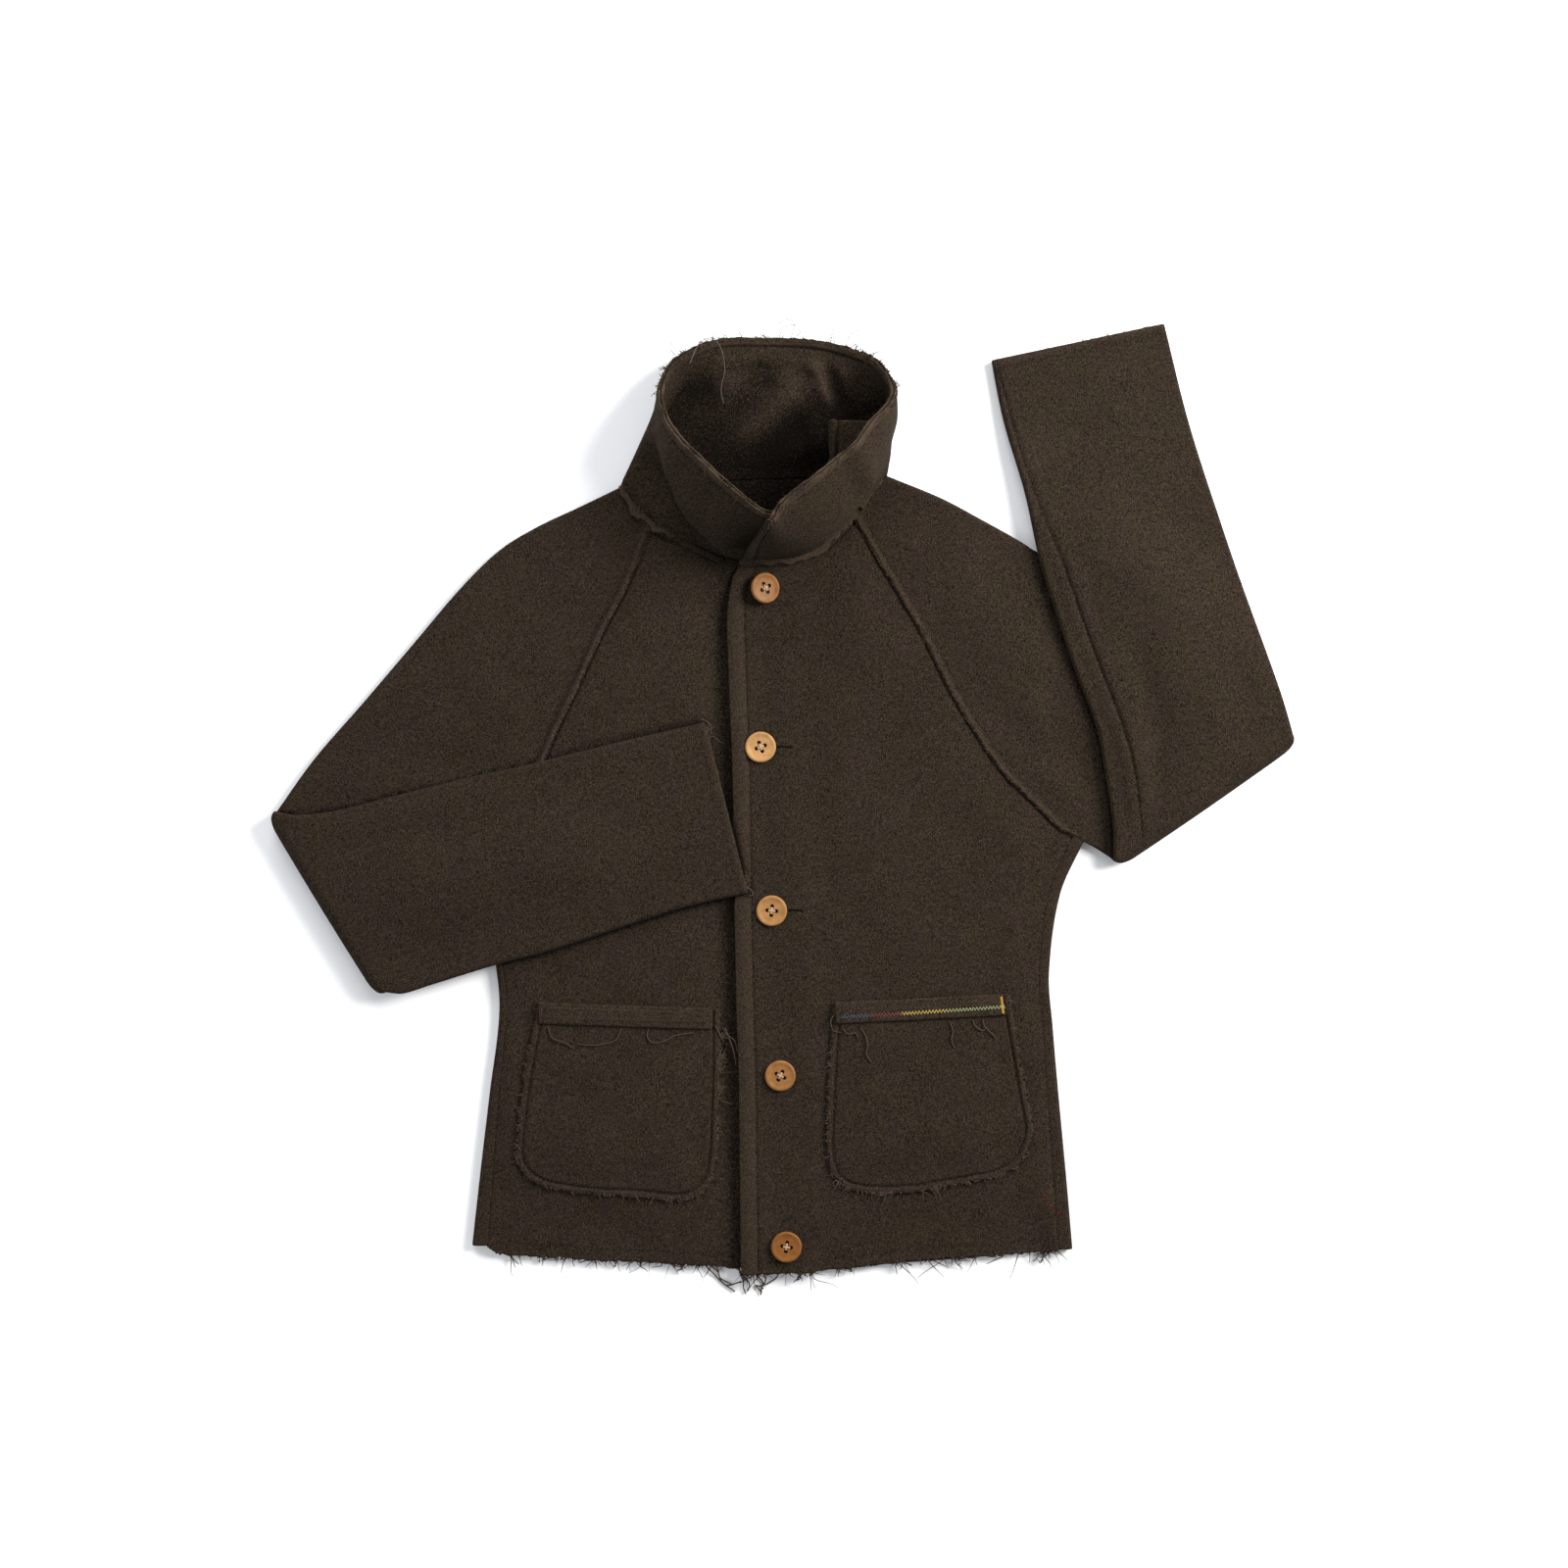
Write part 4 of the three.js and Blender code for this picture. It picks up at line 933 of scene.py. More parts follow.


# One skin of a sleeve, with its wear and painted shade: rows from the raglan seam down to the elbow's
# fold, round it in a half circle, and back up to the cuff, with folds, a raw flange and stitched grooves.
def sleeveSkin(form, radius):
    kinds, insets, heights, shares = sleeveRing(radius)
    hand = form["hand"]
    raglanDown = np.array(form["raglan"], float)[::-1]
    topPath = np.concatenate([[form["neckPoint"], form["neckStep"]], raglanDown])
    topPath = shifted(topPath, -hand * gap / 2)
    backPath = np.concatenate([[form["neckPoint"], form["backStep"], form["backCorner"]], raglanDown[1:]])
    foldOuter, foldUnder = np.array(form["fold"], float)
    width = np.linalg.norm(foldUnder - foldOuter)
    upper = (kinds == 1) | ((kinds != 3) & (heights > rollRadius))
    pathLength = np.where(upper, reachOf(topPath)[-1], reachOf(backPath)[-1])

    # Fractions across a width: from insets where rolled, and spread between the rolls where flat.
    def acrossOf(full):
        rolled = np.where(kinds == 0, insets / full, 1 - insets / full)
        return np.where(kinds % 2 == 1, mix(rollRadius / full, 1 - rollRadius / full, insets), rolled)

    s, f = acrossOf(pathLength), acrossOf(width)
    start = np.where(upper[:, None], along(topPath, s), along(backPath, s))
    steps = np.random.default_rng(7 + hand).normal(0, 1, 420)
    steps = np.interp(s * 400, np.arange(420), np.convolve(steps, ragged, "same"))
    lap = ease((s - 0.03) / 0.03) * ease((0.975 - s) / 0.03) * (kinds == 1)
    lapWay = hand * shifted(along(topPath, s), 1.0) - hand * along(topPath, s)
    start = start + lapWay * (lap * (1.5 + 1.1 * steps))[:, None]
    fold = mix(foldOuter, foldUnder, f[:, None])
    neck, armpit = np.array(form["neckPoint"], float), np.array(form["raglan"][0], float)

    q = pacing(72, [(0, 0.05, 4), (1, 0.04, 1)])[:-1]
    fraction = mix(s[None], f[None], q[:, None])
    corners = (neck, armpit, foldOuter, foldUnder)
    plan = sleevePlan(start, fold, form["outer"], form["under"], corners, q, fraction)
    x, y = flatOf(plan)
    edge = distanceTo(form["raglan"], x, y)
    inside = ease(edge / 30) * ease((1 - q[:, None]) / 0.12)
    swell = folds(x, y, form["upperFolds"]) + waves(x, y, 31 + hand, 90, 0.6)
    swell = swell * (1 - pressed(form, x, y))
    flange = 2.9 * (1 - ease((edge - 0.6) / 3.4))
    flange = flange * ease((fraction - 0.02) / 0.03) * ease((0.98 - fraction) / 0.03)
    # Light on the raw flange, painted shade in the stitching beside it and a painted shadow under the
    # turned-back sleeve.
    upperWearAndShade = 0.42 * (1 - ease((edge - 0.2) / 2.2)) - 0.14 * bell(edge, 4.4, 1.2)
    upperWearAndShade -= 0.9 * underSleeveShadow(form, x, y)
    across = np.sin(math.pi * np.clip(fraction, 0, 1)) ** 0.5
    upperRows = raised(plan, heights[None] + shares[None] * (swell * inside * across + flange))

    foldWay = (foldUnder - foldOuter) / width
    outward = np.array([hand * foldWay[1], -hand * foldWay[0]])
    turn = np.linspace(0, math.pi, 21)[:, None]
    reach = (foldAxis - heights)[None]
    ends = np.clip(np.minimum(f, 1 - f) * width / 16, 0, 1)
    bow = 0.25 + 0.75 * np.sqrt(1 - (1 - ends[None]) ** 2)
    bow = bow + 0.1 * np.sin(math.pi * f[None]) * np.sin(turn)
    plan = fold[None] + outward * (reach * np.sin(turn) * bow)[..., None]
    foldRows = raised(plan, foldAxis - reach * np.cos(turn))

    q = pacing(84, [(0, 0.05, 2), (1, 0.02, 4)])[1:]
    cuffOuter, cuffUnder = np.array(form["outerBack"][-1], float), np.array(form["underBack"][-1], float)
    cuff = mix(cuffOuter, cuffUnder, f[:, None])
    corners = (foldOuter, foldUnder, cuffOuter, cuffUnder)
    fraction = np.broadcast_to(f[None], (len(q), len(f)))
    plan = sleevePlan(fold, cuff, form["outerBack"], form["underBack"], corners, q, fraction)
    x, y = flatOf(plan)
    laid = mix(2 * foldAxis - tube, laying, ease(q / 0.35))[:, None]
    beyond = (x - 208) * 0.586 + (y - 203) * 0.811  # past the left shoulder's edge
    drop = form["droop"] * ease((beyond - 20) / 70)
    inside = ease(q[:, None] / 0.1) * mix(1, 0.25, ease((q[:, None] - 0.9) / 0.1))
    across = np.sin(math.pi * np.clip(fraction, 0, 1)) ** 0.5
    swell = folds(x, y, form["lowerFolds"]) + waves(x, y, 41 + hand, 100, 0.6)
    z = laid * (1 - drop) + tube - heights[None] + (1 - shares[None]) * swell * inside * across
    cuffWay = (1 - q[:, None]) * reachOf(form["outerBack"])[-1] + 0 * x
    # Light at the raw cuff edge, painted shade in the groove below it and along the underarm seam.
    lowerWearAndShade = 0.3 * (1 - ease((cuffWay - 1) / 3)) - 0.3 * bell(cuffWay, 6.5, 0.9)
    if form["seam"]:
        seam = distanceTo(form["seam"], x, y)
        lowerWearAndShade = lowerWearAndShade - 0.65 * bell(seam, 0, 0.8) * (kinds == 3)
    wearAndShade = np.concatenate([upperWearAndShade, np.zeros(foldRows.shape[:2]), lowerWearAndShade])
    return np.concatenate([upperRows, foldRows, raised(plan, z)]), wearAndShade


# A sleeve as a closed wall between two skins, and the surface midway between them.
def sleevePiece(name, form, *nodes):
    (outer, wearAndShade), (inner, _) = (sleeveSkin(form, radius) for radius in (rollRadius, rollRadius - cloth))
    piece = shell(name, outer, inner, wearAndShade, wrap=True)
    return finishPiece(piece, bodyWool, "wool", *nodes), (outer + inner) / 2


rightSleeve, rightSleeveMid = sleevePiece("rightSleeve", rightSleeveForm, "right_sleeve")
leftSleeve, leftSleeveMid = sleevePiece("leftSleeve", leftSleeveForm, "left_sleeve")
print("sleeves")


# Ribs of the collar from its hidden front end round to the other: its foot, crease, bulge and top,
# each as x, y, z, and the degrees that the cloth at the foot is turned under.
collarRibs = [
    [8, 196.5, 2.7, 8, 212, 7.5, 8, 212, 32, 11, 235, 64, 0],
    [-34, 196, 2.75, -27, 207, 8, -26, 212, 31, -11, 227, 78, 0],
    [-51, 199, 2.75, -43, 209, 8, -49, 206, 32, -31, 241, 80, 0],
    [-73, 209, 4.1, -59, 229, 9, -71, 226, 32, -47, 255, 77, 0],
    [-94, 219, 5.45, -75, 245, 10.5, -83, 246, 31, -64, 271, 74, 0],
    [-107, 228, 5.45, -84, 264, 11, -92, 265, 30, -79, 285, 70, 0],
    [-119, 240, 5.45, -97, 279, 11, -98, 289, 28, -90, 301, 64, 0],
    [-128.4, 254, 5.45, -112, 287, 11, -102, 300, 24, -95, 313, 56, 0],
    [-128.7, 257.4, 3.9, -114, 289, 6, -104, 308, 13, -97, 325, 44, 90],
    [-126.5, 257.6, 2.35, -110, 290, 2.6, -98, 313, 5, -95, 340, 32, 180],
    [-94, 260, 2.35, -88, 294, 2.35, -85, 330, 3, -85, 358, 20, 180],
    [-58, 261, 2.35, -54, 297, 2.35, -52, 338, 2.6, -53, 374, 12, 180],
    [-22, 262, 2.35, -20, 297, 2.35, -18, 340, 2.5, -14, 376, 8, 180],
    [10, 263, 2.35, 14, 297, 2.35, 18, 339, 2.5, 27, 374, 9, 180],
    [42, 264, 2.35, 48, 295, 2.35, 56, 332, 3, 58, 366, 15, 180],
    [82, 265, 2.35, 85, 295, 2.6, 88, 317, 6, 79, 353, 26, 180],
    [83, 265, 3.9, 87, 292, 6, 91, 313, 16, 89, 336, 40, 90],
    [83, 263, 5.45, 85, 277, 10, 85, 290, 28, 88, 320, 58, 0],
    [72, 249, 5.45, 73, 256, 14, 73, 263, 36, 72, 300, 70, 0],
    [59, 234, 5.45, 57, 237, 14, 58, 238, 38, 53, 277, 77, 0],
    [47, 221, 5.45, 44, 222, 14, 45, 223, 39, 32, 260, 81, 0],
    [32, 207, 5.45, 29, 210, 14, 30, 210, 39, 14, 246, 84, 0],
    [12, 198, 5.45, 11, 202, 14, 11, 203, 39, 0, 234, 87, 0],
    [-6, 196, 5.45, -6, 199, 14, -6, 202, 39, -6, 225, 88, 0],
    [-32, 196, 5.45, -30, 199, 14, -25, 206, 38, -10, 220, 88, 0],
]

# Creases of the collar: lines of (mm round it from its hidden front end, mm up from the neck seam).
collarFolds = [
    crease(9, 2.6, 470, 98, 462, 70, 452, 40, 450, 20),
    crease(9, -2.4, 486, 98, 478, 66, 470, 30),
    crease(13, -2.2, 330, 34, 350, 56, 380, 84, 404, 100),
    crease(12, 2.2, 250, 20, 262, 44, 290, 70),
    crease(14, 1.8, 290, 96, 310, 70, 316, 40),
    crease(14, 1.4, 160, 60, 190, 66, 220, 58),
    crease(12, 1.0, 90, 30, 130, 34, 170, 26),
    crease(16, 1.2, 600, 70, 650, 60, 700, 66),
]


# Creases of the facing where it lies under the collar's opening, in plan.
facingFolds = [
    crease(7, 3.4, 24, 368, 30, 350, 36, 330, 44, 312),
    crease(6, -3.4, 34, 364, 42, 344, 50, 326, 64, 312),
    crease(14, 3.6, -48, 284, -20, 306, 8, 332, 28, 346),
    crease(13, -3.0, -28, 270, 4, 296, 26, 318),
    crease(12, -3.0, -84, 344, -70, 336, -56, 344),
    crease(11, 2.6, -76, 300, -62, 312, -46, 336, -40, 356),
    crease(10, -2.0, -20, 364, -14, 344, -16, 330),
]


# The surface between the two layers and its outward normals: a curve up each rib, then curves
# round through all the ribs.
def collarSurface(columns, rows):
    points = np.array(collarRibs, float)
    count = len(points)
    feet = points[:, :3]
    turn = np.radians(points[:, 12])
    footNormal = np.stack([np.sign(feet[:, 0]) * np.sin(turn), 0 * turn, np.cos(turn)], axis=1)
    points[:, :3] += gap * unit(np.cross(np.gradient(feet, axis=0), footNormal))
    ribs = np.array([along(rib.reshape(4, 3), rows) for rib in points[:, :12]])
    surface = along(ribs.reshape(count, -1), columns).reshape(len(columns), len(rows), 3)
    surface = surface.transpose(1, 0, 2)
    normals = -normalsOf(surface)
    blend = ease(rows / 0.12)[:, None, None]
    places = evenly(count)
    foot = np.stack([np.interp(columns, places, footNormal[:, k]) for k in range(3)], axis=1)
    return surface, unit(mix(foot[None], normals, blend))


# The way run up each column of a grid, at each of its rows.
def wayUp(grid):
    steps = np.linalg.norm(np.diff(grid, axis=0), axis=2)
    return np.concatenate([np.zeros((1, grid.shape[1])), np.cumsum(steps, axis=0)])


collarColumns = pacing(270, [(0, 0.01, 2), (1, 0.02, 3), (0.36, 0.06, 1), (0.7, 0.05, 1)])
collarRows = pacing(70, [(0, 0.05, 2), (1, 0.09, 3)])
collarMid, collarNormals = collarSurface(collarColumns, collarRows)

# The raw edge of the neck seam, turned out over the body: rows past the foot, lifted onto it.
ribAt = collarColumns * (len(collarRibs) - 1)
lapShare = ease((ribAt - 3.6) / 0.8) * (1 - ease((ribAt - 7.2) / 0.8))
lapShare += 0.85 * ease((ribAt - 17.4) / 0.8)
lapRagged = np.convolve(np.random.default_rng(8).normal(0, 1, len(collarColumns)), ragged, "same")
lapOut = unit((collarMid[0] - collarMid[4]) * [1, 1, 0])
lapSteps = np.array([1.0, 0.72, 0.45, 0.2])[:, None]
lapReach = lapSteps * ((3.8 + 2.3 * lapRagged) * lapShare + 0.02)[None]
lapRows = collarMid[:1] + lapOut[None] * lapReach[..., None]
lapNormals = np.repeat(collarNormals[:1], 4, axis=0)
lapLift = 2.75
collarMid[..., 2] += lapLift * lapShare[None] * (1 - ease((wayUp(collarMid) - 1.0) / 6))
lapRows[..., 2] += (lapLift + 0.35 * np.abs(lapRagged[None]) * lapSteps) * lapShare[None]
collarMid = np.concatenate([lapRows, collarMid])
collarNormals = np.concatenate([lapNormals, collarNormals])
collarRows = np.concatenate([np.zeros(4), collarRows])
roundWay = reachOf(collarMid[len(collarRows) // 2])
upWay = wayUp(collarMid)
roundMm = np.broadcast_to(roundWay[None], upWay.shape)
topMm = upWay[-1:] - upWay
frontMm = roundMm[:, -1:] - roundMm
print("collar round", roundWay[-1], "up", upWay[-1].min(), upWay[-1].max())
collarSwell = folds(roundMm, upWay, collarFolds) + waves(roundMm, upWay * 1.4, 51, 110, 0.9)
collarSwell = (collarSwell + waves(roundMm, upWay, 52, 40, 0.35)) * ease(upWay / 30)
collarMid = collarMid + collarNormals * collarSwell[..., None]
collarMid[..., 2] = np.maximum(collarMid[..., 2], 2.35)


# One layer between two distances from the middle surface: a sine puff over its edge, pinched by
# bells along its edge stitching, the inner one lifted by its creases where it lies flat.
def collarLayer(near, far, firstRow):
    pinch = bell(topMm, collarStitch, 1.2) + bell(frontMm, collarStitch, 1.2)
    puff = np.sin(math.pi * np.clip(topMm / collarStitch, 0, 1)) * (topMm < collarStitch)
    outer = far + np.sign(far) * (0.6 * puff - 1.3 * np.clip(pinch, 0, 1))
    if far < 0:
        outer = mix(near - 0.5, outer, ease(upWay / 16) * np.ones_like(upWay))
        flatness = np.clip(-collarNormals[..., 2], 0, 1) ** 3
        x, y = flatOf(collarMid)
        lift = 4.2 + 1.5 * folds(x, y, facingFolds) + waves(x, y, 53, 50, 0.4)
        ends = ease((ribAt - 9.3) / 1.4) * ease((15.4 - ribAt) / 1.4)
        outer = outer - lift * flatness * ends[None] * ease((topMm - 7) / 16) * ease((upWay - 6) / 24)
    rough = np.random.default_rng(9).normal(0, 1, topMm.shape[1])
    rough = np.convolve(rough, [0.2, 0.6, 0.2], "same") * np.sign(far)
    nudge = unit(np.gradient(collarMid, axis=0)) * (0.55 * rough[None] * (1 - ease(topMm / 3)))[..., None]
    skin = collarMid + collarNormals * outer[..., None] + nudge
    base = collarMid + collarNormals * near + nudge
    lowest = [-np.inf, -np.inf, 0]
    return np.maximum(skin, lowest)[firstRow:], np.maximum(base, lowest)[firstRow:]


# Wear and painted shade of the collar: light and mottled at its rim, painted shade in its stitching and
# at the foot of its turned-out neck edge, and darker at the rim of its back.
rim = np.minimum(topMm, frontMm)
collarWearAndShade = 0.5 * (1 - ease((rim - 4.6) / 1.2)) + 0.4 * (1 - ease(rim / 1.4))
collarWearAndShade -= 0.8 * bell(rim, collarStitch, 0.8)
facingRow = 5  # the facing starts inside the turned-out edge
lapWear = (np.arange(len(collarRows)) < facingRow)[:, None] * lapShare[None]
mottle = np.random.default_rng(12).normal(0, 1, topMm.shape[1] + 4)
mottle = np.convolve(mottle, [0.25, 0.5, 0.8, 0.5, 0.25], "valid")
collarWearAndShade += 0.6 * mottle[None] * (1 - ease(rim / 3.2)) - 0.25 * (1 - ease(rim / 1.6))
backShare = ease((collarMid[-1, :, 1] - 322) / 30)
collarWearAndShade -= 1.4 * backShare[None] * (1 - ease(rim / 3.8))
collarWearAndShade = np.maximum(collarWearAndShade, 0.8 * lapWear) - 0.7 * bell(upWay, 5.2, 1.1) * lapShare[None]
# The facing: painted shade growing deeper inside the collar, and painted highlights on its crease ridges
# with painted shade in their hollows.
facingShade = collarWearAndShade - 0.13 * ease(topMm / 10) - 0.78 * ease((topMm - 12) / 46)
facingShade += 0.2 * folds(*flatOf(collarMid), facingFolds) * ease((topMm - 8) / 12)
layerInset = 0.25
layerReach = layerInset + thinCloth
collar = shell("collar", *collarLayer(layerInset, layerReach, 0), collarWearAndShade)
finishPiece(collar, collarWool, "collar_wool", "collar")
facing = shell("collarFacing", *collarLayer(-layerInset, -layerReach, facingRow), facingShade[facingRow:])
finishPiece(facing, collarWool, "collar_wool", "collar_facing")
print("collar")


# The flap inside the collar: a slab between four corners, rolled and stitched along its left edge.
tabCorners = np.array([[39, 306, 24], [80.5, 303, 44], [40, 272, 20], [72, 274, 34]], float)
across = pacing(46, [(0, 0.1, 1)])[None, :, None]
down = evenly(36)[:, None, None]
tabUnder = mix(mix(tabCorners[0], tabCorners[1], across), mix(tabCorners[2], tabCorners[3], across), down)
tabAcross = across[..., 0]
tabMm = tabAcross * 41 + 0 * down[..., 0]
tabWaves = waves(*flatOf(tabUnder), 61, 24, 0.3)
tabUnder[..., 2] += 4 * (1 - tabAcross) + 0.7 * np.sin(math.pi * tabAcross) + tabWaves
tabOver = tabUnder.copy()
tabOver[..., 2] += 3 + 1.8 * bell(tabMm, 2.6, 2.2) - 1.2 * bell(tabMm, 6.4, 1.3)
# The tab's shading: a little darker overall, a painted highlight along its roll and painted shade in its
# stitching.
tabShading = -0.05 + 0.15 * bell(tabMm, 2.6, 2.2) - 0.4 * bell(tabMm, 6.4, 1.0)
tab = shell("collarTab", tabOver, tabUnder, tabShading)
finishPiece(tab, collarWool, "collar_wool", "collar_tab")


rightPocketForm = {
    "top": [[-197, -164], [-147, -166], [-99, -168], [-51, -170]],
    "left": [[-197, -164], [-203, -195], [-209, -229], [-215, -287]],
    "right": [[-51, -170], [-51, -210], [-52, -249], [-54, -291]],
    "band": [[-196.5, -164], [-57, -168.5], [-57, -184.5], [-196.5, -180]],
    "foot": [
        [-215, -287], [-211, -299], [-200, -309], [-188, -314], [-153, -319], [-114, -321], [-86, -324],
        [-68, -320], [-59, -309], [-54, -291],
    ],
}
leftPocketForm = {
    "top": [[44, -164], [91, -162], [138, -160], [184, -157]],
    "left": [[44, -164], [40, -209], [38, -252], [37, -284]],
    "right": [[184, -157], [193, -209], [199, -242], [203, -267]],
    "band": [[44, -164], [182, -157], [183, -173], [45, -180]],
    "foot": [
        [37, -284], [41, -301], [50, -312], [67, -317], [104, -317], [136, -312], [157, -308],
        [174, -305], [191, -295], [199, -282], [203, -267],
    ],
}


# A pocket's outline from its top left corner round the foot to its top right one.
def pocketOutline(form):
    return np.array(form["left"] + form["foot"][1:-1] + form["right"][::-1], float)


# Height of a pocket's upper skin over its front: a bell up along the raw flange, one down in its
# stitching, and an eased swell in the middle.
def pocketTop(form, heightAt, x, y):
    edge = distanceTo(pocketOutline(form), x, y, 60)
    top = distanceTo(form["top"], x, y)
    belly = 2.6 * ease((edge - 6) / 34) * (0.55 + 0.45 * ease(top / 50))
    stitch = -1.3 * bell(edge, 4.6, 1.1) + 0.4 * bell(edge, 1.8, 1.5)
    soft = waves(x, y, 71, 60, 0.35) * ease(edge / 14)
    return heightAt(x, y) + cloth + gap + thinCloth + np.maximum(belly + soft, 0) + stitch


# A slab under a plan's upper surface, of one thickness, as a piece of wool.
def slabPiece(name, plan, top, thickness, material, wearAndShade, node):
    outer = raised(plan, top)
    return finishPiece(shell(name, outer, outer - [0, 0, thickness], wearAndShade), material, "wool", node)


# A pocket over its front: a patch between its four edges, its raw edge waved by 1 mm.
def pocketPiece(name, form, heightAt, node):
    across = pacing(80, [(0, 0.06, 3), (1, 0.06, 3)])
    up = pacing(80, [(0, 0.06, 3), (1, 0.04, 1)])
    foot, head = along(form["foot"], across), along(form["top"], across)
    start, end = along(form["left"][::-1], up), along(form["right"][::-1], up)
    plan = patch(foot, head, start, end, across, up)
    edge = distanceTo(pocketOutline(form), *flatOf(plan), 60)
    z = pocketTop(form, heightAt, *flatOf(plan))
    for axis in range(2):
        plan[..., axis] += waves(*flatOf(plan), 74 + axis, 4.4, 1.0) * (1 - ease(edge / 2.6))
    # Light at the raw edge, and painted shade in the stitching.
    wearAndShade = 0.16 * (1 - ease((edge - 1.5) / 2)) - 0.4 * bell(edge, 4.6, 0.8)
    return slabPiece(name, plan, z, thinCloth, bodyWool, wearAndShade, node)


# A strip over the pocket's top, ruled between the band's corners.
def bandPlan(form, across, down):
    corners = np.array(form["band"], float)
    return mix(mix(corners[0], corners[1], across), mix(corners[3], corners[2], across), down)


# Height of a band: halfway to level over its pocket, and round across it as the root of 1 - v^2.
def bandTop(form, heightAt, plan, down):
    x, y = flatOf(plan)
    base = pocketTop(form, heightAt, x, y)
    flat = base.mean(axis=0, keepdims=True) * 0.5 + base * 0.5
    arch = 0.6 * np.sqrt(np.clip(1 - (2 * down[:, None] - 1) ** 2, 0, 1))
    return np.maximum(flat, base + 0.1) + gap + 1.6 + arch + waves(x, y, 81, 40, 0.2)


# A band as a slab 1.8 mm thick.
def bandPiece(name, form, heightAt, node):
    across = pacing(110, [(0, 0.02, 2), (1, 0.02, 2)])
    down = pacing(22, [(0, 0.1, 2), (1, 0.1, 2)])
    plan = bandPlan(form, across[None, :, None], down[:, None, None])
    return slabPiece(name, plan, bandTop(form, heightAt, plan, down), 1.8, bandWool, None, node)


right = (rightPocketForm, rightFrontHeight)
left = (leftPocketForm, leftFrontHeight)
rightPocket = pocketPiece("rightPocket", *right, "right_pocket")
leftPocket = pocketPiece("leftPocket", *left, "left_pocket")
bandWool = woolMaterial("bandWool", (0.0045, 0.003, 0.0025), (0.051, 0.0336, 0.0262))
rightBand = bandPiece("rightPocketBand", *right, "right_pocket_band")
leftBand = bandPiece("leftPocketBand", *left, "left_pocket_band")
print("pockets")


# Horn: noise between two ambers, deepened by a tone given for each button, near black in its holes as
# painted shade.
def buttonMaterial():
    made = plainMaterial("buttonHorn", (1, 1, 1), 0.5, 0.12)
    tree = made.node_tree
    shader = tree.nodes["Principled BSDF"]
    setInputs(shader, Coat_Weight=0.03, Coat_Roughness=0.25)
    noise = node(tree, "TexNoise", Scale=190.0, Detail=4.0)
    ramp = rampNode(tree, [(0.3, (0.29, 0.15, 0.053)), (0.72, (0.41, 0.228, 0.092))])
    amber = colourMix(tree, "MULTIPLY", B=(0.46, 0.33, 0.19, 1))
    colour = colourMix(tree, B=(0.012, 0.006, 0.003, 1))
    link = tree.links.new
    link(node(tree, "TexCoord").outputs["Object"], noise.inputs["Vector"])
    link(noise.outputs["Fac"], ramp.inputs["Fac"])
    link(attributeNode(tree, "tone"), amber.inputs["Factor"])
    link(attributeNode(tree, "dark"), colour.inputs["Factor"])
    link(ramp.outputs["Color"], amber.inputs["A"])
    link(amber.outputs["Result"], colour.inputs["A"])
    link(colour.outputs["Result"], shader.inputs["Base Color"])
    return made


# A colour ramp through stops of a place and a colour.
def rampNode(tree, stops):
    made = node(tree, "ValToRGB")
    elements = made.color_ramp.elements
    while len(elements) < len(stops):
        elements.new(0.5)
    for element, (at, colour) in zip(elements, stops):
        element.position = at
        element.color = (*colour, 1)
    return made


buttonHorn = buttonMaterial()
buttonPlaces = [
    {"x": -14, "y": 173, "tilt": -0.42, "turn": -0.25, "tone": 0.9},
    {"x": -17, "y": 44, "tilt": 0, "turn": -0.42, "tone": 0.0},
    {"x": -8, "y": -89, "tilt": 0, "turn": 0.68, "tone": 0.45},
    {"x": -1, "y": -223, "tilt": 0, "turn": 0.3, "tone": 0.78},
    {"x": 4, "y": -362, "tilt": 0, "turn": 0.62, "tone": 1.0},
]
# Half a button's section from its top's middle round to its foot's: distance out, height.
buttonProfile = [
    [0, 2.7], [4.2, 2.7], [7.6, 2.8], [8.7, 2.95], [9.7, 3.2], [10.7, 3.45], [11.6, 3.35], [12.2, 2.8],
    [12.5, 1.9], [12.2, 1.0], [11.4, 0.5], [9.6, 0.1], [7, 0], [0, 0],
]
holeReach = 3.65


# A button about its own middle: its profile turned round, dished at four thread holes, with a mask of
# painted shade in them.
def buttonSurface():
    ring = np.linspace(0, 2 * math.pi, 80, endpoint=False)
    spans = [(0.02, 2.2, 8), (2.35, 5.1, 22), (5.4, 7.4, 5)]  # closest where the holes are
    fine = np.concatenate([np.linspace(*span) for span in spans])
    profile = np.array(buttonProfile, float)
    top = np.stack([fine, np.interp(fine, profile[:7, 0], profile[:7, 1])], axis=1)
    rim = along(profile[2:12], np.linspace(0.05, 1, 34))
    line = np.concatenate([top, rim, [[7, 0.0], [3.5, 0.0], [0.02, 0.0]]])
    x = line[:, :1] * np.cos(ring)
    y = line[:, :1] * np.sin(ring)
    z = np.repeat(line[:, 1:], len(ring), axis=1)
    dark = np.zeros_like(z)
    onTop = (np.arange(len(line)) < len(fine))[:, None]
    for angle in math.pi / 4 + np.arange(4) * math.pi / 2:
        away = np.hypot(x - holeReach * math.cos(angle), y - holeReach * math.sin(angle))
        z -= 2.1 * (1 - ease((away - 1.3) / 0.3)) * onTop
        dark = np.maximum(dark, (1 - ease((away - 1.35) / 0.35)) * onTop)
    return np.stack([x, y, z], axis=-1), dark


# Points of a button turned in its plane, tilted about the line up the coat and set on the front.
def buttonSet(points, place):
    c, s = math.cos(place["turn"]), math.sin(place["turn"])
    ct, st = math.cos(place["tilt"]), math.sin(place["tilt"])
    x, y, z = (points[..., k] for k in range(3))
    x, y = x * c - y * s, x * s + y * c
    x, z = x * ct - z * st, x * st + z * ct
    base = high + cloth + gap + abs(st) * 10 + place["lift"]
    return np.stack([x + place["x"], y + place["y"], z + base], axis=-1)


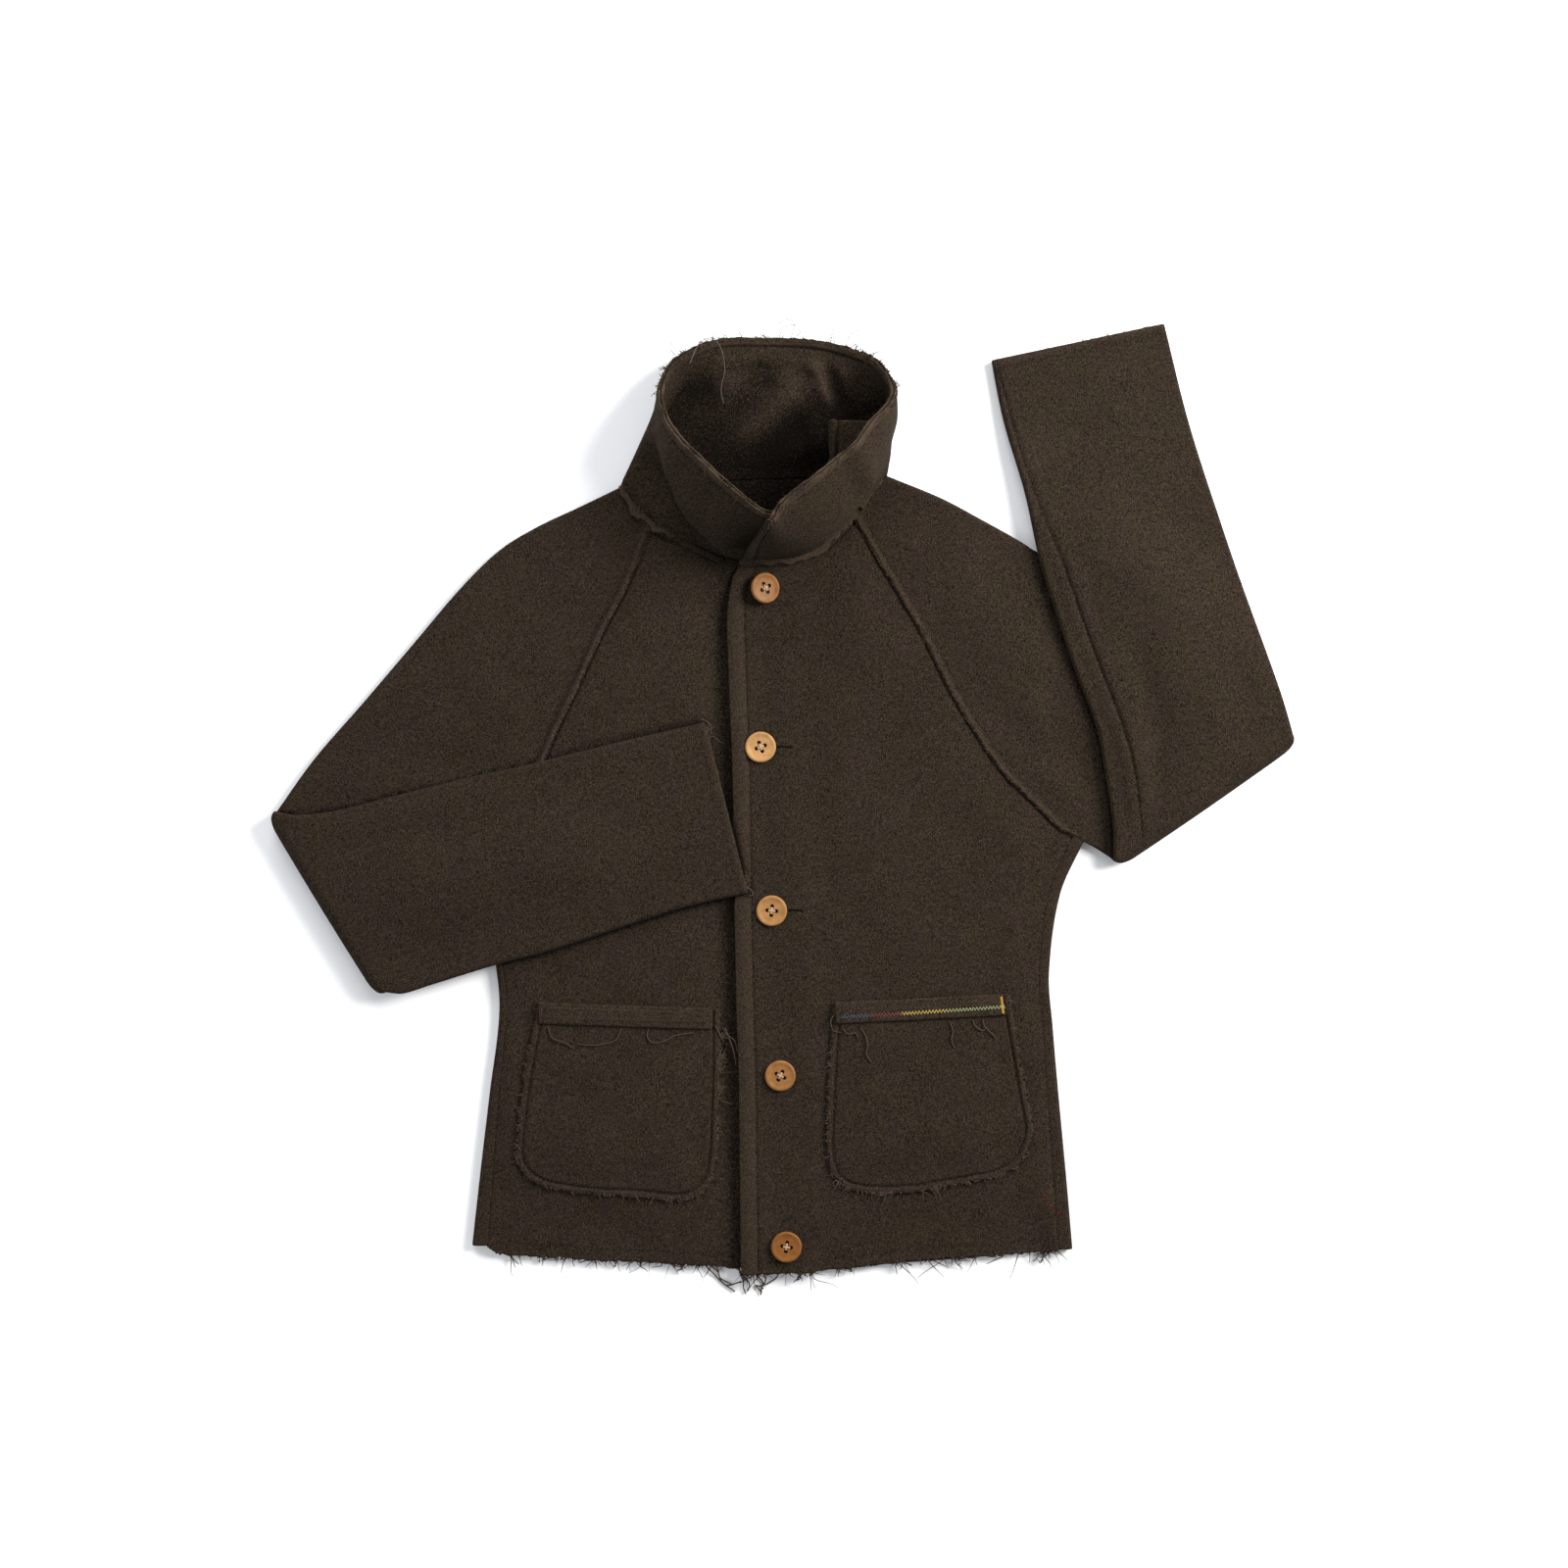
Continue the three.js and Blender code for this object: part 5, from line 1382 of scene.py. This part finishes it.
# A button at its place, its two ends closed by fans.
def buttonPiece(k, place):
    points, dark = buttonSurface()
    count, around = dark.shape
    verts = buttonSet(points, place).reshape(-1, 3)
    index = np.arange(count * around).reshape(count, around)
    a, b = index[:-1], index[1:]
    quads = np.stack([a, b, np.roll(b, -1, axis=1), np.roll(a, -1, axis=1)], axis=-1).reshape(-1, 4)
    verts = np.concatenate([verts, [verts[index[0]].mean(axis=0)], [verts[index[-1]].mean(axis=0)]])
    caps = []
    for ring, middle in ((index[0], len(verts) - 2), (index[-1][::-1], len(verts) - 1)):
        caps.append(np.stack([np.full(around, middle), ring, np.roll(ring, -1)], axis=-1))
    tris = np.concatenate([quads[:, [0, 1, 2]], quads[:, [0, 2, 3]]] + caps)
    dark = np.concatenate([dark.ravel(), [0, 0]])
    tones = {"dark": dark, "tone": np.full(len(dark), place["tone"])}
    piece = meshObject("button" + str(k), verts, tris, tones)
    return finishPiece(piece, buttonHorn, "horn", "button_" + str(k))


# Two crossed pairs of threads over a button's holes, each an arch from one hole to the opposite
# one that drops as the ninth power of the way out.
def crossThreads(place):
    paths = []
    t = np.linspace(-1, 1, 13)
    reach = holeReach - 0.75
    for angle in (math.pi / 4, 3 * math.pi / 4):
        for side in (-0.3, 0.3):
            x = t * reach * math.cos(angle) - side * math.sin(angle)
            y = t * reach * math.sin(angle) + side * math.cos(angle)
            z = 3.0 + 0.25 * (angle > 2) - 1.7 * np.abs(t) ** 9
            paths.append(buttonSet(np.stack([x, y, z], axis=1), place))
    return paths


crosses = []
for k, place in enumerate(buttonPlaces, 1):
    top = leftFrontHeight(np.array([[place["x"]]], float), np.array([[place["y"]]], float))[0, 0] + cloth
    place["lift"] = max(float(top) - high - cloth, 0)
    buttonPiece(k, place)
    crosses += crossThreads(place)
tubes("buttonThread", crosses, 0.27, plainMaterial("threadPale", (0.46, 0.32, 0.22), 0.8, 0.1))


# Buttonholes right of their buttons: a dark tube lying on the front as the painted shade of each slit,
# with short stitches over it.
def buttonholes():
    slitShades, stitches = [], []
    rng = np.random.default_rng(65)
    count = 40
    for place in buttonPlaces[1:3]:
        x = place["x"] + np.linspace(4, 26, count)
        y = place["y"] + 0.9 * np.sin(np.linspace(0, 3, count)) - 0.4
        z = leftFrontHeight(x[None], y[None])[0] + cloth - 0.25
        for side in (-0.35, 0.35):
            slitShades.append(np.stack([x, y + side, z], axis=1))
        for j in range(34):
            at = rng.uniform(0, count - 1)
            px, py, pz = (np.interp(at, np.arange(count), v) for v in (x, y, z))
            t = np.linspace(-1, 1, 5)
            lean = rng.normal(0, 0.5)
            half = rng.uniform(0.8, 1.7)
            stitches.append(np.stack([px + lean * t, py + half * t, pz + 0.55 - 0.5 * t**2], axis=1))
    holeThread = plainMaterial("threadHole", (0.012, 0.009, 0.008), 1.0, 0.03)
    slitShade = tubes("buttonholeSlitShades", slitShades, 0.5, slitShadeBlack)
    return slitShade, tubes("buttonholeStitches", stitches, 0.16, holeThread)


slitShade, holeStitch = buttonholes()
print("buttons")


# Frays of the last row of a grid, or the first, pointing away from the row two steps inside it.
def edgeFrays(grid, last, *plain, part=slice(None), lift=0, **named):
    edge, inside = (grid[-1], grid[-3]) if last else (grid[0], grid[2])
    return frayRows(edge[part] + [0, 0, lift], (edge - inside)[part], *plain, **named)


# Each row: grid, whether its last row, count, seed, shortest and longest.
hemGroups = [
    edgeFrays(rightMid, 0, 170, 1, 0.8, 2.4, lean=1.0),
    edgeFrays(leftMid, 0, 190, 2, 0.8, 2.4, lean=1.0),
    edgeFrays(rightMid, 0, 120, 3, 2.6, 8.0, curl=0.9, lean=0.9, tufts=32),
    edgeFrays(leftMid, 0, 150, 4, 2.6, 8.5, curl=0.9, lean=0.9, tufts=40),
    edgeFrays(leftMid, 0, 16, 7, 4, 11, where=(0.0, 0.05), curl=0.8, tufts=5),
]
yarnGroups = [
    edgeFrays(leftMid, 0, 26, 8, 5, 11, where=(0.02, 0.75), curl=1.0, lean=0.9, tufts=14),
    edgeFrays(rightMid, 0, 20, 9, 4, 10, where=(0.03, 0.64), curl=1.0, lean=0.9, tufts=12),
]
rightSleeveGroups = [
    edgeFrays(rightSleeveMid, 1, 420, 11, 0.4, 2.2),
    edgeFrays(rightSleeveMid, 1, 12, 12, 3, 8, part=cuffBase, where=(0, 0.08), curl=0.6),
    edgeFrays(rightSleeveMid, 1, 12, 13, 3, 8, part=cuffBase, where=(0.92, 1), curl=0.6),
    edgeFrays(rightSleeveMid, 0, 800, 14, 0.8, 2.6, part=upperSleeve, lift=1, lean=1.2, tufts=150),
    edgeFrays(rightSleeveMid, 0, 26, 15, 1.5, 5, part=upperSleeve, lean=0.8),
]
leftSleeveGroups = [
    edgeFrays(leftSleeveMid, 1, 420, 21, 0.4, 2.2),
    edgeFrays(leftSleeveMid, 1, 30, 22, 2, 7, part=cuffBase, where=(0.5, 1), curl=0.5),
    edgeFrays(leftSleeveMid, 0, 800, 23, 0.8, 2.6, part=upperSleeve, lift=1, lean=1.2, tufts=150),
    edgeFrays(leftSleeveMid, 0, 26, 24, 1.5, 5, part=upperSleeve, lean=0.8),
]
hemFrays = frayPiece("hemFrays", fibreHem, "wool", hemGroups, 0.56, 6)
hemYarns = frayPiece("hemYarns", fibreWool, "wool", yarnGroups, 0.55, 12)
rightSleeveFrays = frayPiece("rightSleeveFrays", fibreLight, "wool", rightSleeveGroups, 0.32)
leftSleeveFrays = frayPiece("leftSleeveFrays", fibreLight, "wool", leftSleeveGroups, 0.32)
print("frays of hem and sleeves")

collarEdge = collarMid[-1]
collarUp = unit(collarMid[-1] - collarMid[-3])
outward = collarNormals[-1] * 1.5
aside = unit((collarEdge - [0, 320, 0]) * [1, 1, 0])
frontLap, backLap = slice(39, 81), slice(199, 268)  # columns of the turned-out neck edge
lapFoot = collarMid[0] + [0, 0, 1]
over, rimOut = collarEdge + outward * 0.8, collarUp * 0.4 + aside
outer, outerOut = collarEdge + outward * 0.6, collarUp * 0.3 + aside
inner, innerOut = collarEdge - outward, collarUp - outward * 1.4
collarGroups = [
    frayRows(over, rimOut, 300, 31, 2.4, 7.0, lean=0.9, sink=0, tufts=110),
    frayRows(inner, innerOut, 300, 32, 1.2, 3.4, lean=1.0, sink=0, tufts=120),
    frayRows(outer, outerOut, 60, 33, 3, 8, lean=0.9, sink=0, curl=0.8, tufts=26),
    frayRows(collarEdge, collarUp * 2 + outward, 12, 34, 6, 13, 0.9, 0.1, (0.44, 0.66), 0.8),
    frayRows(collarMid[4:, -1], collarMid[4:, -1] - collarMid[4:, -3], 90, 35, 0.4, 2.4, lean=0.6),
    frayRows(lapFoot[frontLap], lapOut[frontLap], 260, 36, 1.2, 4.6, lean=1.2, tufts=60),
    frayRows(lapFoot[frontLap], lapOut[frontLap], 30, 37, 3, 8, lean=1.2, curl=0.7, tufts=12),
    frayRows(lapFoot[backLap], lapOut[backLap], 240, 38, 0.8, 2.8, lean=1.2),
]
collarFrays = frayPiece("collarFrays", fibreHem, "collar_wool", collarGroups, 0.42)


# Frays round a pocket's raw edge, from its top left corner round the foot.
def pocketFrays(name, form, heightAt, seed, where):
    dense = along(pocketOutline(form), evenly(300))
    way = np.gradient(dense, axis=0)
    out = np.stack([way[:, 1], -way[:, 0], 0 * way[:, 0]], axis=1)
    line = raised(dense, pocketTop(form, heightAt, dense[None, :, 0], dense[None, :, 1])[0] - 0.5)
    groups = [
        frayRows(line, out, 300, seed, 0.9, 2.8, lean=1.3, sink=0.1),
        frayRows(line, out, 300, seed + 1, 1.5, 4.5, lean=1.2, curl=0.6, sink=0.1, tufts=70),
        frayRows(line, out, 60, seed + 2, 3, 9, lean=1.4, where=where, curl=0.7, sink=0.1, tufts=12),
    ]
    return frayPiece(name, fibreLight, "wool", groups, 0.36)


rightPocketFrays = pocketFrays("rightPocketFrays", *right, 41, (0.84, 0.97))
leftPocketFrays = pocketFrays("leftPocketFrays", *left, 51, (0.3, 0.62))


# A triangle wave from -1 to 1, up and down once in every two steps.
def zigzagOf(steps):
    return 2 * np.abs((steps % 2) - 1) - 1


bandDown = evenly(24)


# A zigzag across a band between two fractions along it: at a height down the band, this wide, with
# this many points, on the band's top.
def zigzagPath(form, heightAt, start, end, level, wide, points):
    t = evenly(points * 4 + 1)
    across = mix(start, end, t)
    down = mix(level[0], level[1], t) + zigzagOf(t * points) * wide / 2 / 16
    plan = bandPlan(form, across[:, None], down[:, None])
    grid = bandPlan(form, evenly(60)[None, :, None], bandDown[:, None, None])
    z = bandTop(form, heightAt, grid, bandDown)
    zAt = z[np.clip((down * 23).astype(int), 0, 23), np.clip((across * 59).astype(int), 0, 59)]
    return raised(plan, zAt + 0.25), t


# Thread whose colour runs through the stops of a ramp along its length.
def rainbowMaterial():
    made = plainMaterial("threadVariegated", (1, 1, 1), 0.6, 0.5)
    tree = made.node_tree
    ramp = rampNode(tree, [
        (0.0, (0.04, 0.08, 0.15)), (0.17, (0.045, 0.085, 0.15)), (0.2, (0.22, 0.03, 0.028)),
        (0.36, (0.26, 0.035, 0.03)), (0.39, (0.72, 0.50, 0.09)), (0.6, (0.72, 0.52, 0.12)),
        (0.67, (0.42, 0.48, 0.20)), (1.0, (0.38, 0.48, 0.24)),
    ])
    tree.links.new(attributeNode(tree, "along"), ramp.inputs["Fac"])
    tree.links.new(ramp.outputs["Color"], tree.nodes["Principled BSDF"].inputs["Base Color"])
    return made


zigzag, zigzagAt = zigzagPath(*left, 0.02, 0.992, (0.72, 0.60), 2.9, 98)
rainbow = rainbowMaterial()
zigzagThread = tubes("leftBandZigzag", [zigzag], 0.16, rainbow, attributes={"along": [zigzagAt]})
t = evenly(73)
barLength = 13.5
barX = 178.2 + 1.6 * t + zigzagOf(t * 18) * 1.1
barGrid = bandPlan(leftPocketForm, np.array([0.96, 0.98])[None, :, None], bandDown[:, None, None])
barZ = bandTop(*left, barGrid, bandDown)[:, 0]
barHeight = np.interp((t * barLength + 1) / 16, bandDown, barZ) + 0.35
barPath = np.stack([barX, -158.5 - barLength * t, barHeight], axis=1)
bar = tubes("leftBandBar", [barPath], 0.21, plainMaterial("threadYellow", (0.60, 0.34, 0.05), 0.6))
selfPaths = [
    zigzagPath(*right, 0.03, 0.97, (0.68, 0.66), 2.0, 92)[0],
    zigzagPath(*right, 0.06, 0.95, (0.22, 0.2), 0.5, 60)[0],
]
threadWool = plainMaterial("threadWool", (0.05, 0.036, 0.026), 0.8, 0.05)
selfThread = tubes("rightBandZigzag", selfPaths, 0.26, threadWool)

# Loose threads lying on the cloth at the pockets, as lines in plan.
rightLoose = [
    [[-190, -183], [-186, -192], [-176, -196], [-168, -201]],
    [[-166, -197], [-156, -198], [-144, -197], [-134, -193], [-130, -184]],
    [[-108, -184], [-109, -191], [-104, -196], [-94, -194], [-86, -190], [-72, -188]],
    [[-46, -184], [-43, -192], [-40, -200], [-38, -208], [-37, -215]],
    [[-48, -184], [-44, -190], [-38, -195], [-36, -204]],
    [[-54, -182], [-50, -190], [-47, -196]],
]
leftLoose = [
    [[64, -184], [68, -190], [70, -198], [69, -206], [73, -212]],
    [[50, -185], [54, -189], [60, -188], [62, -192]],
    [[136, -178], [139, -186], [138, -194], [140, -200]],
    [[155, -177], [157, -182], [163, -186], [166, -184]],
    [[163, -177], [165, -183], [171, -189], [174, -193]],
    [[44, -172], [40, -178], [42, -186], [48, -188]],
]


# A thread over a pocket and its front: smooth in plan, its middle lifted in a sine arc of 1.2 mm.
def threadPath(line, form, heightAt):
    t = evenly(26)
    path = along(line, t)
    x, y = path[None, :, 0], path[None, :, 1]
    z = np.maximum(pocketTop(form, heightAt, x, y)[0], heightAt(x, y)[0] + cloth)
    return raised(path, z + 0.35 + 1.2 * np.sin(math.pi * t))


loosePaths = [threadPath(line, *right) for line in rightLoose]
loosePaths += [threadPath(line, *left) for line in leftLoose]
looseThread = tubes("looseThreads", loosePaths, 0.5, fibreWool)


# Dark red stitches near the left side's foot: short ones along a line, a little uneven.
def redStitches():
    paths = []
    rng = np.random.default_rng(66)
    line = [[213, -320], [216, -326], [219, -331], [225, -336], [232, -337]]
    t = np.linspace(-1, 1, 5)
    for spot in along(line, evenly(13)):
        x, y = spot + rng.normal(0, 1.2, 2)
        way = rng.uniform(0.2, 1.3)
        px, py = x + t * 1.1 * math.cos(way), y + t * 1.1 * math.sin(way)
        z = leftFrontHeight(px[None], py[None])[0] + cloth + 0.12 - 0.25 * t**2
        paths.append(np.stack([px, py, z], axis=1))
    return tubes("redStitches", paths, 0.26, plainMaterial("threadRed", (0.11, 0.010, 0.016), 0.8, 0.05))


redThread = redStitches()


# Long loose threads through points of their own, smoothed into this many steps.
def looseTubes(name, lines, steps, radius, material, slot="wool"):
    return tubes(name, [along(line, evenly(steps)) for line in lines], radius, material, slot)


# Curly threads on either side of the front edge's foot, each from just inside the hem.
hemLoose = [
    [[-63, -376, 4], [-60, -381, 2], [-54, -387, 1], [-48, -393, 1], [-38, -400, 1]],
    [[-59, -376, 4], [-56, -380, 2], [-52, -384, 1], [-50, -389, 1], [-41, -394, 1]],
    [[-55, -377, 4], [-52, -382, 2], [-50, -390, 1], [-45, -395, 1], [-33, -392, 1]],
    [[-36, -375, 4], [-35, -381, 3], [-33, -387, 2], [-31, -392, 1], [-31, -397, 1], [-29, -402, 1]],
    [[-35, -377, 4], [-33, -385, 2], [-27, -392, 1], [-26, -396, 1], [-28, -400, 1]],
    [[-20, -385, 4], [-18, -389, 2], [-15, -393, 1], [-16, -397, 1], [-17, -403, 1]],
    [[-2, -384, 5], [-4, -388, 3], [-7, -391, 1], [-12, -394, 1], [-16, -395, 1], [-15, -398, 1]],
    [[-14, -385, 4], [-13, -391, 2], [-17, -396, 1], [-21, -395, 1], [-16, -401, 1]],
]
# Two threads that curl off the corners of the right cuff.
cuffLoose = [
    [[-36, -50, 13], [-33, -59, 13], [-31, -67, 12], [-25, -72, 11], [-23, -76, 11], [-27, -77, 11]],
    [[-66, 67, 12], [-61, 65, 12], [-57, 60, 11], [-59, 52, 10]],
]
# The collar's: one loop hanging inside it and a few above it.
collarLoose = [
    [
        [-74, 352, 32], [-66, 369, 30], [-56, 374, 26], [-49, 366, 22], [-46, 350, 18], [-49, 334, 16],
        [-47, 322, 15],
    ],
    [[-2, 377, 13], [2, 384, 15], [10, 386, 16], [15, 381, 15], [12, 377, 13]],
    [[8, 377, 12], [10, 388, 14], [4, 391, 15], [-3, 387, 14]],
    [[38, 373, 14], [42, 381, 16], [40, 388, 17]],
    [[52, 369, 17], [56, 378, 19], [62, 381, 20]],
    [[-86, 360, 25], [-90, 366, 24], [-88, 371, 22]],
]
threadFaded = plainMaterial("threadFaded", (0.10, 0.08, 0.062), 1.0, 0.03)
hemThread = looseTubes("hemThreads", hemLoose, 30, 0.6, fibreWool)
cuffThread = looseTubes("cuffThreads", cuffLoose, 30, 0.42, fibreLight)
collarThread = looseTubes("collarThreads", collarLoose, 40, 0.3, threadFaded, "collar_wool")
print("threads")


# The surface that the coat lies on.
def stageFloor():
    mesh = bpy.data.meshes.new("floor")
    mesh.from_pydata([(-6, -6, 0), (6, -6, 0), (6, 6, 0), (-6, 6, 0)], [], [(0, 1, 2, 3)])
    floor = bpy.data.objects.new("floor", mesh)
    floor.location = (0, 0, -0.0006)
    scene.collection.objects.link(floor)
    floor.data.materials.append(plainMaterial("floorPaper", (0.9, 0.9, 0.905), 0.9, 0.1))


# A round light at a place, turned by the two angles of the way to its target.
def areaLight(name, place, target, size, power, colour):
    data = bpy.data.lights.new(name, "AREA")
    data.shape = "DISK"
    data.size = size
    data.energy = power
    data.color = colour
    lamp = bpy.data.objects.new(name, data)
    x, y, z = np.subtract(target, place)
    lamp.location = place
    lamp.rotation_euler = (math.atan2(math.hypot(x, y), -z), 0, math.atan2(y, x) - math.pi / 2)
    scene.collection.objects.link(lamp)


# The surface, the lamps and the world light.
stageFloor()
areaLight("key", (1.75, 0.85, 1.2), (0.05, 0.05, 0), 1.2, 108, (1, 0.985, 0.96))
areaLight("fillHead", (-0.5, 2.3, 1.15), (0, 0, 0), 1.6, 48, (0.97, 0.985, 1))
areaLight("fillSide", (-2.2, -0.5, 1.15), (0, 0, 0), 1.6, 28, (0.95, 0.97, 1))
world = bpy.data.worlds.new("world")
scene.world = world
world.use_nodes = True
setInputs(world.node_tree.nodes["Background"], Color=(0.93, 0.96, 1, 1), Strength=0.40)
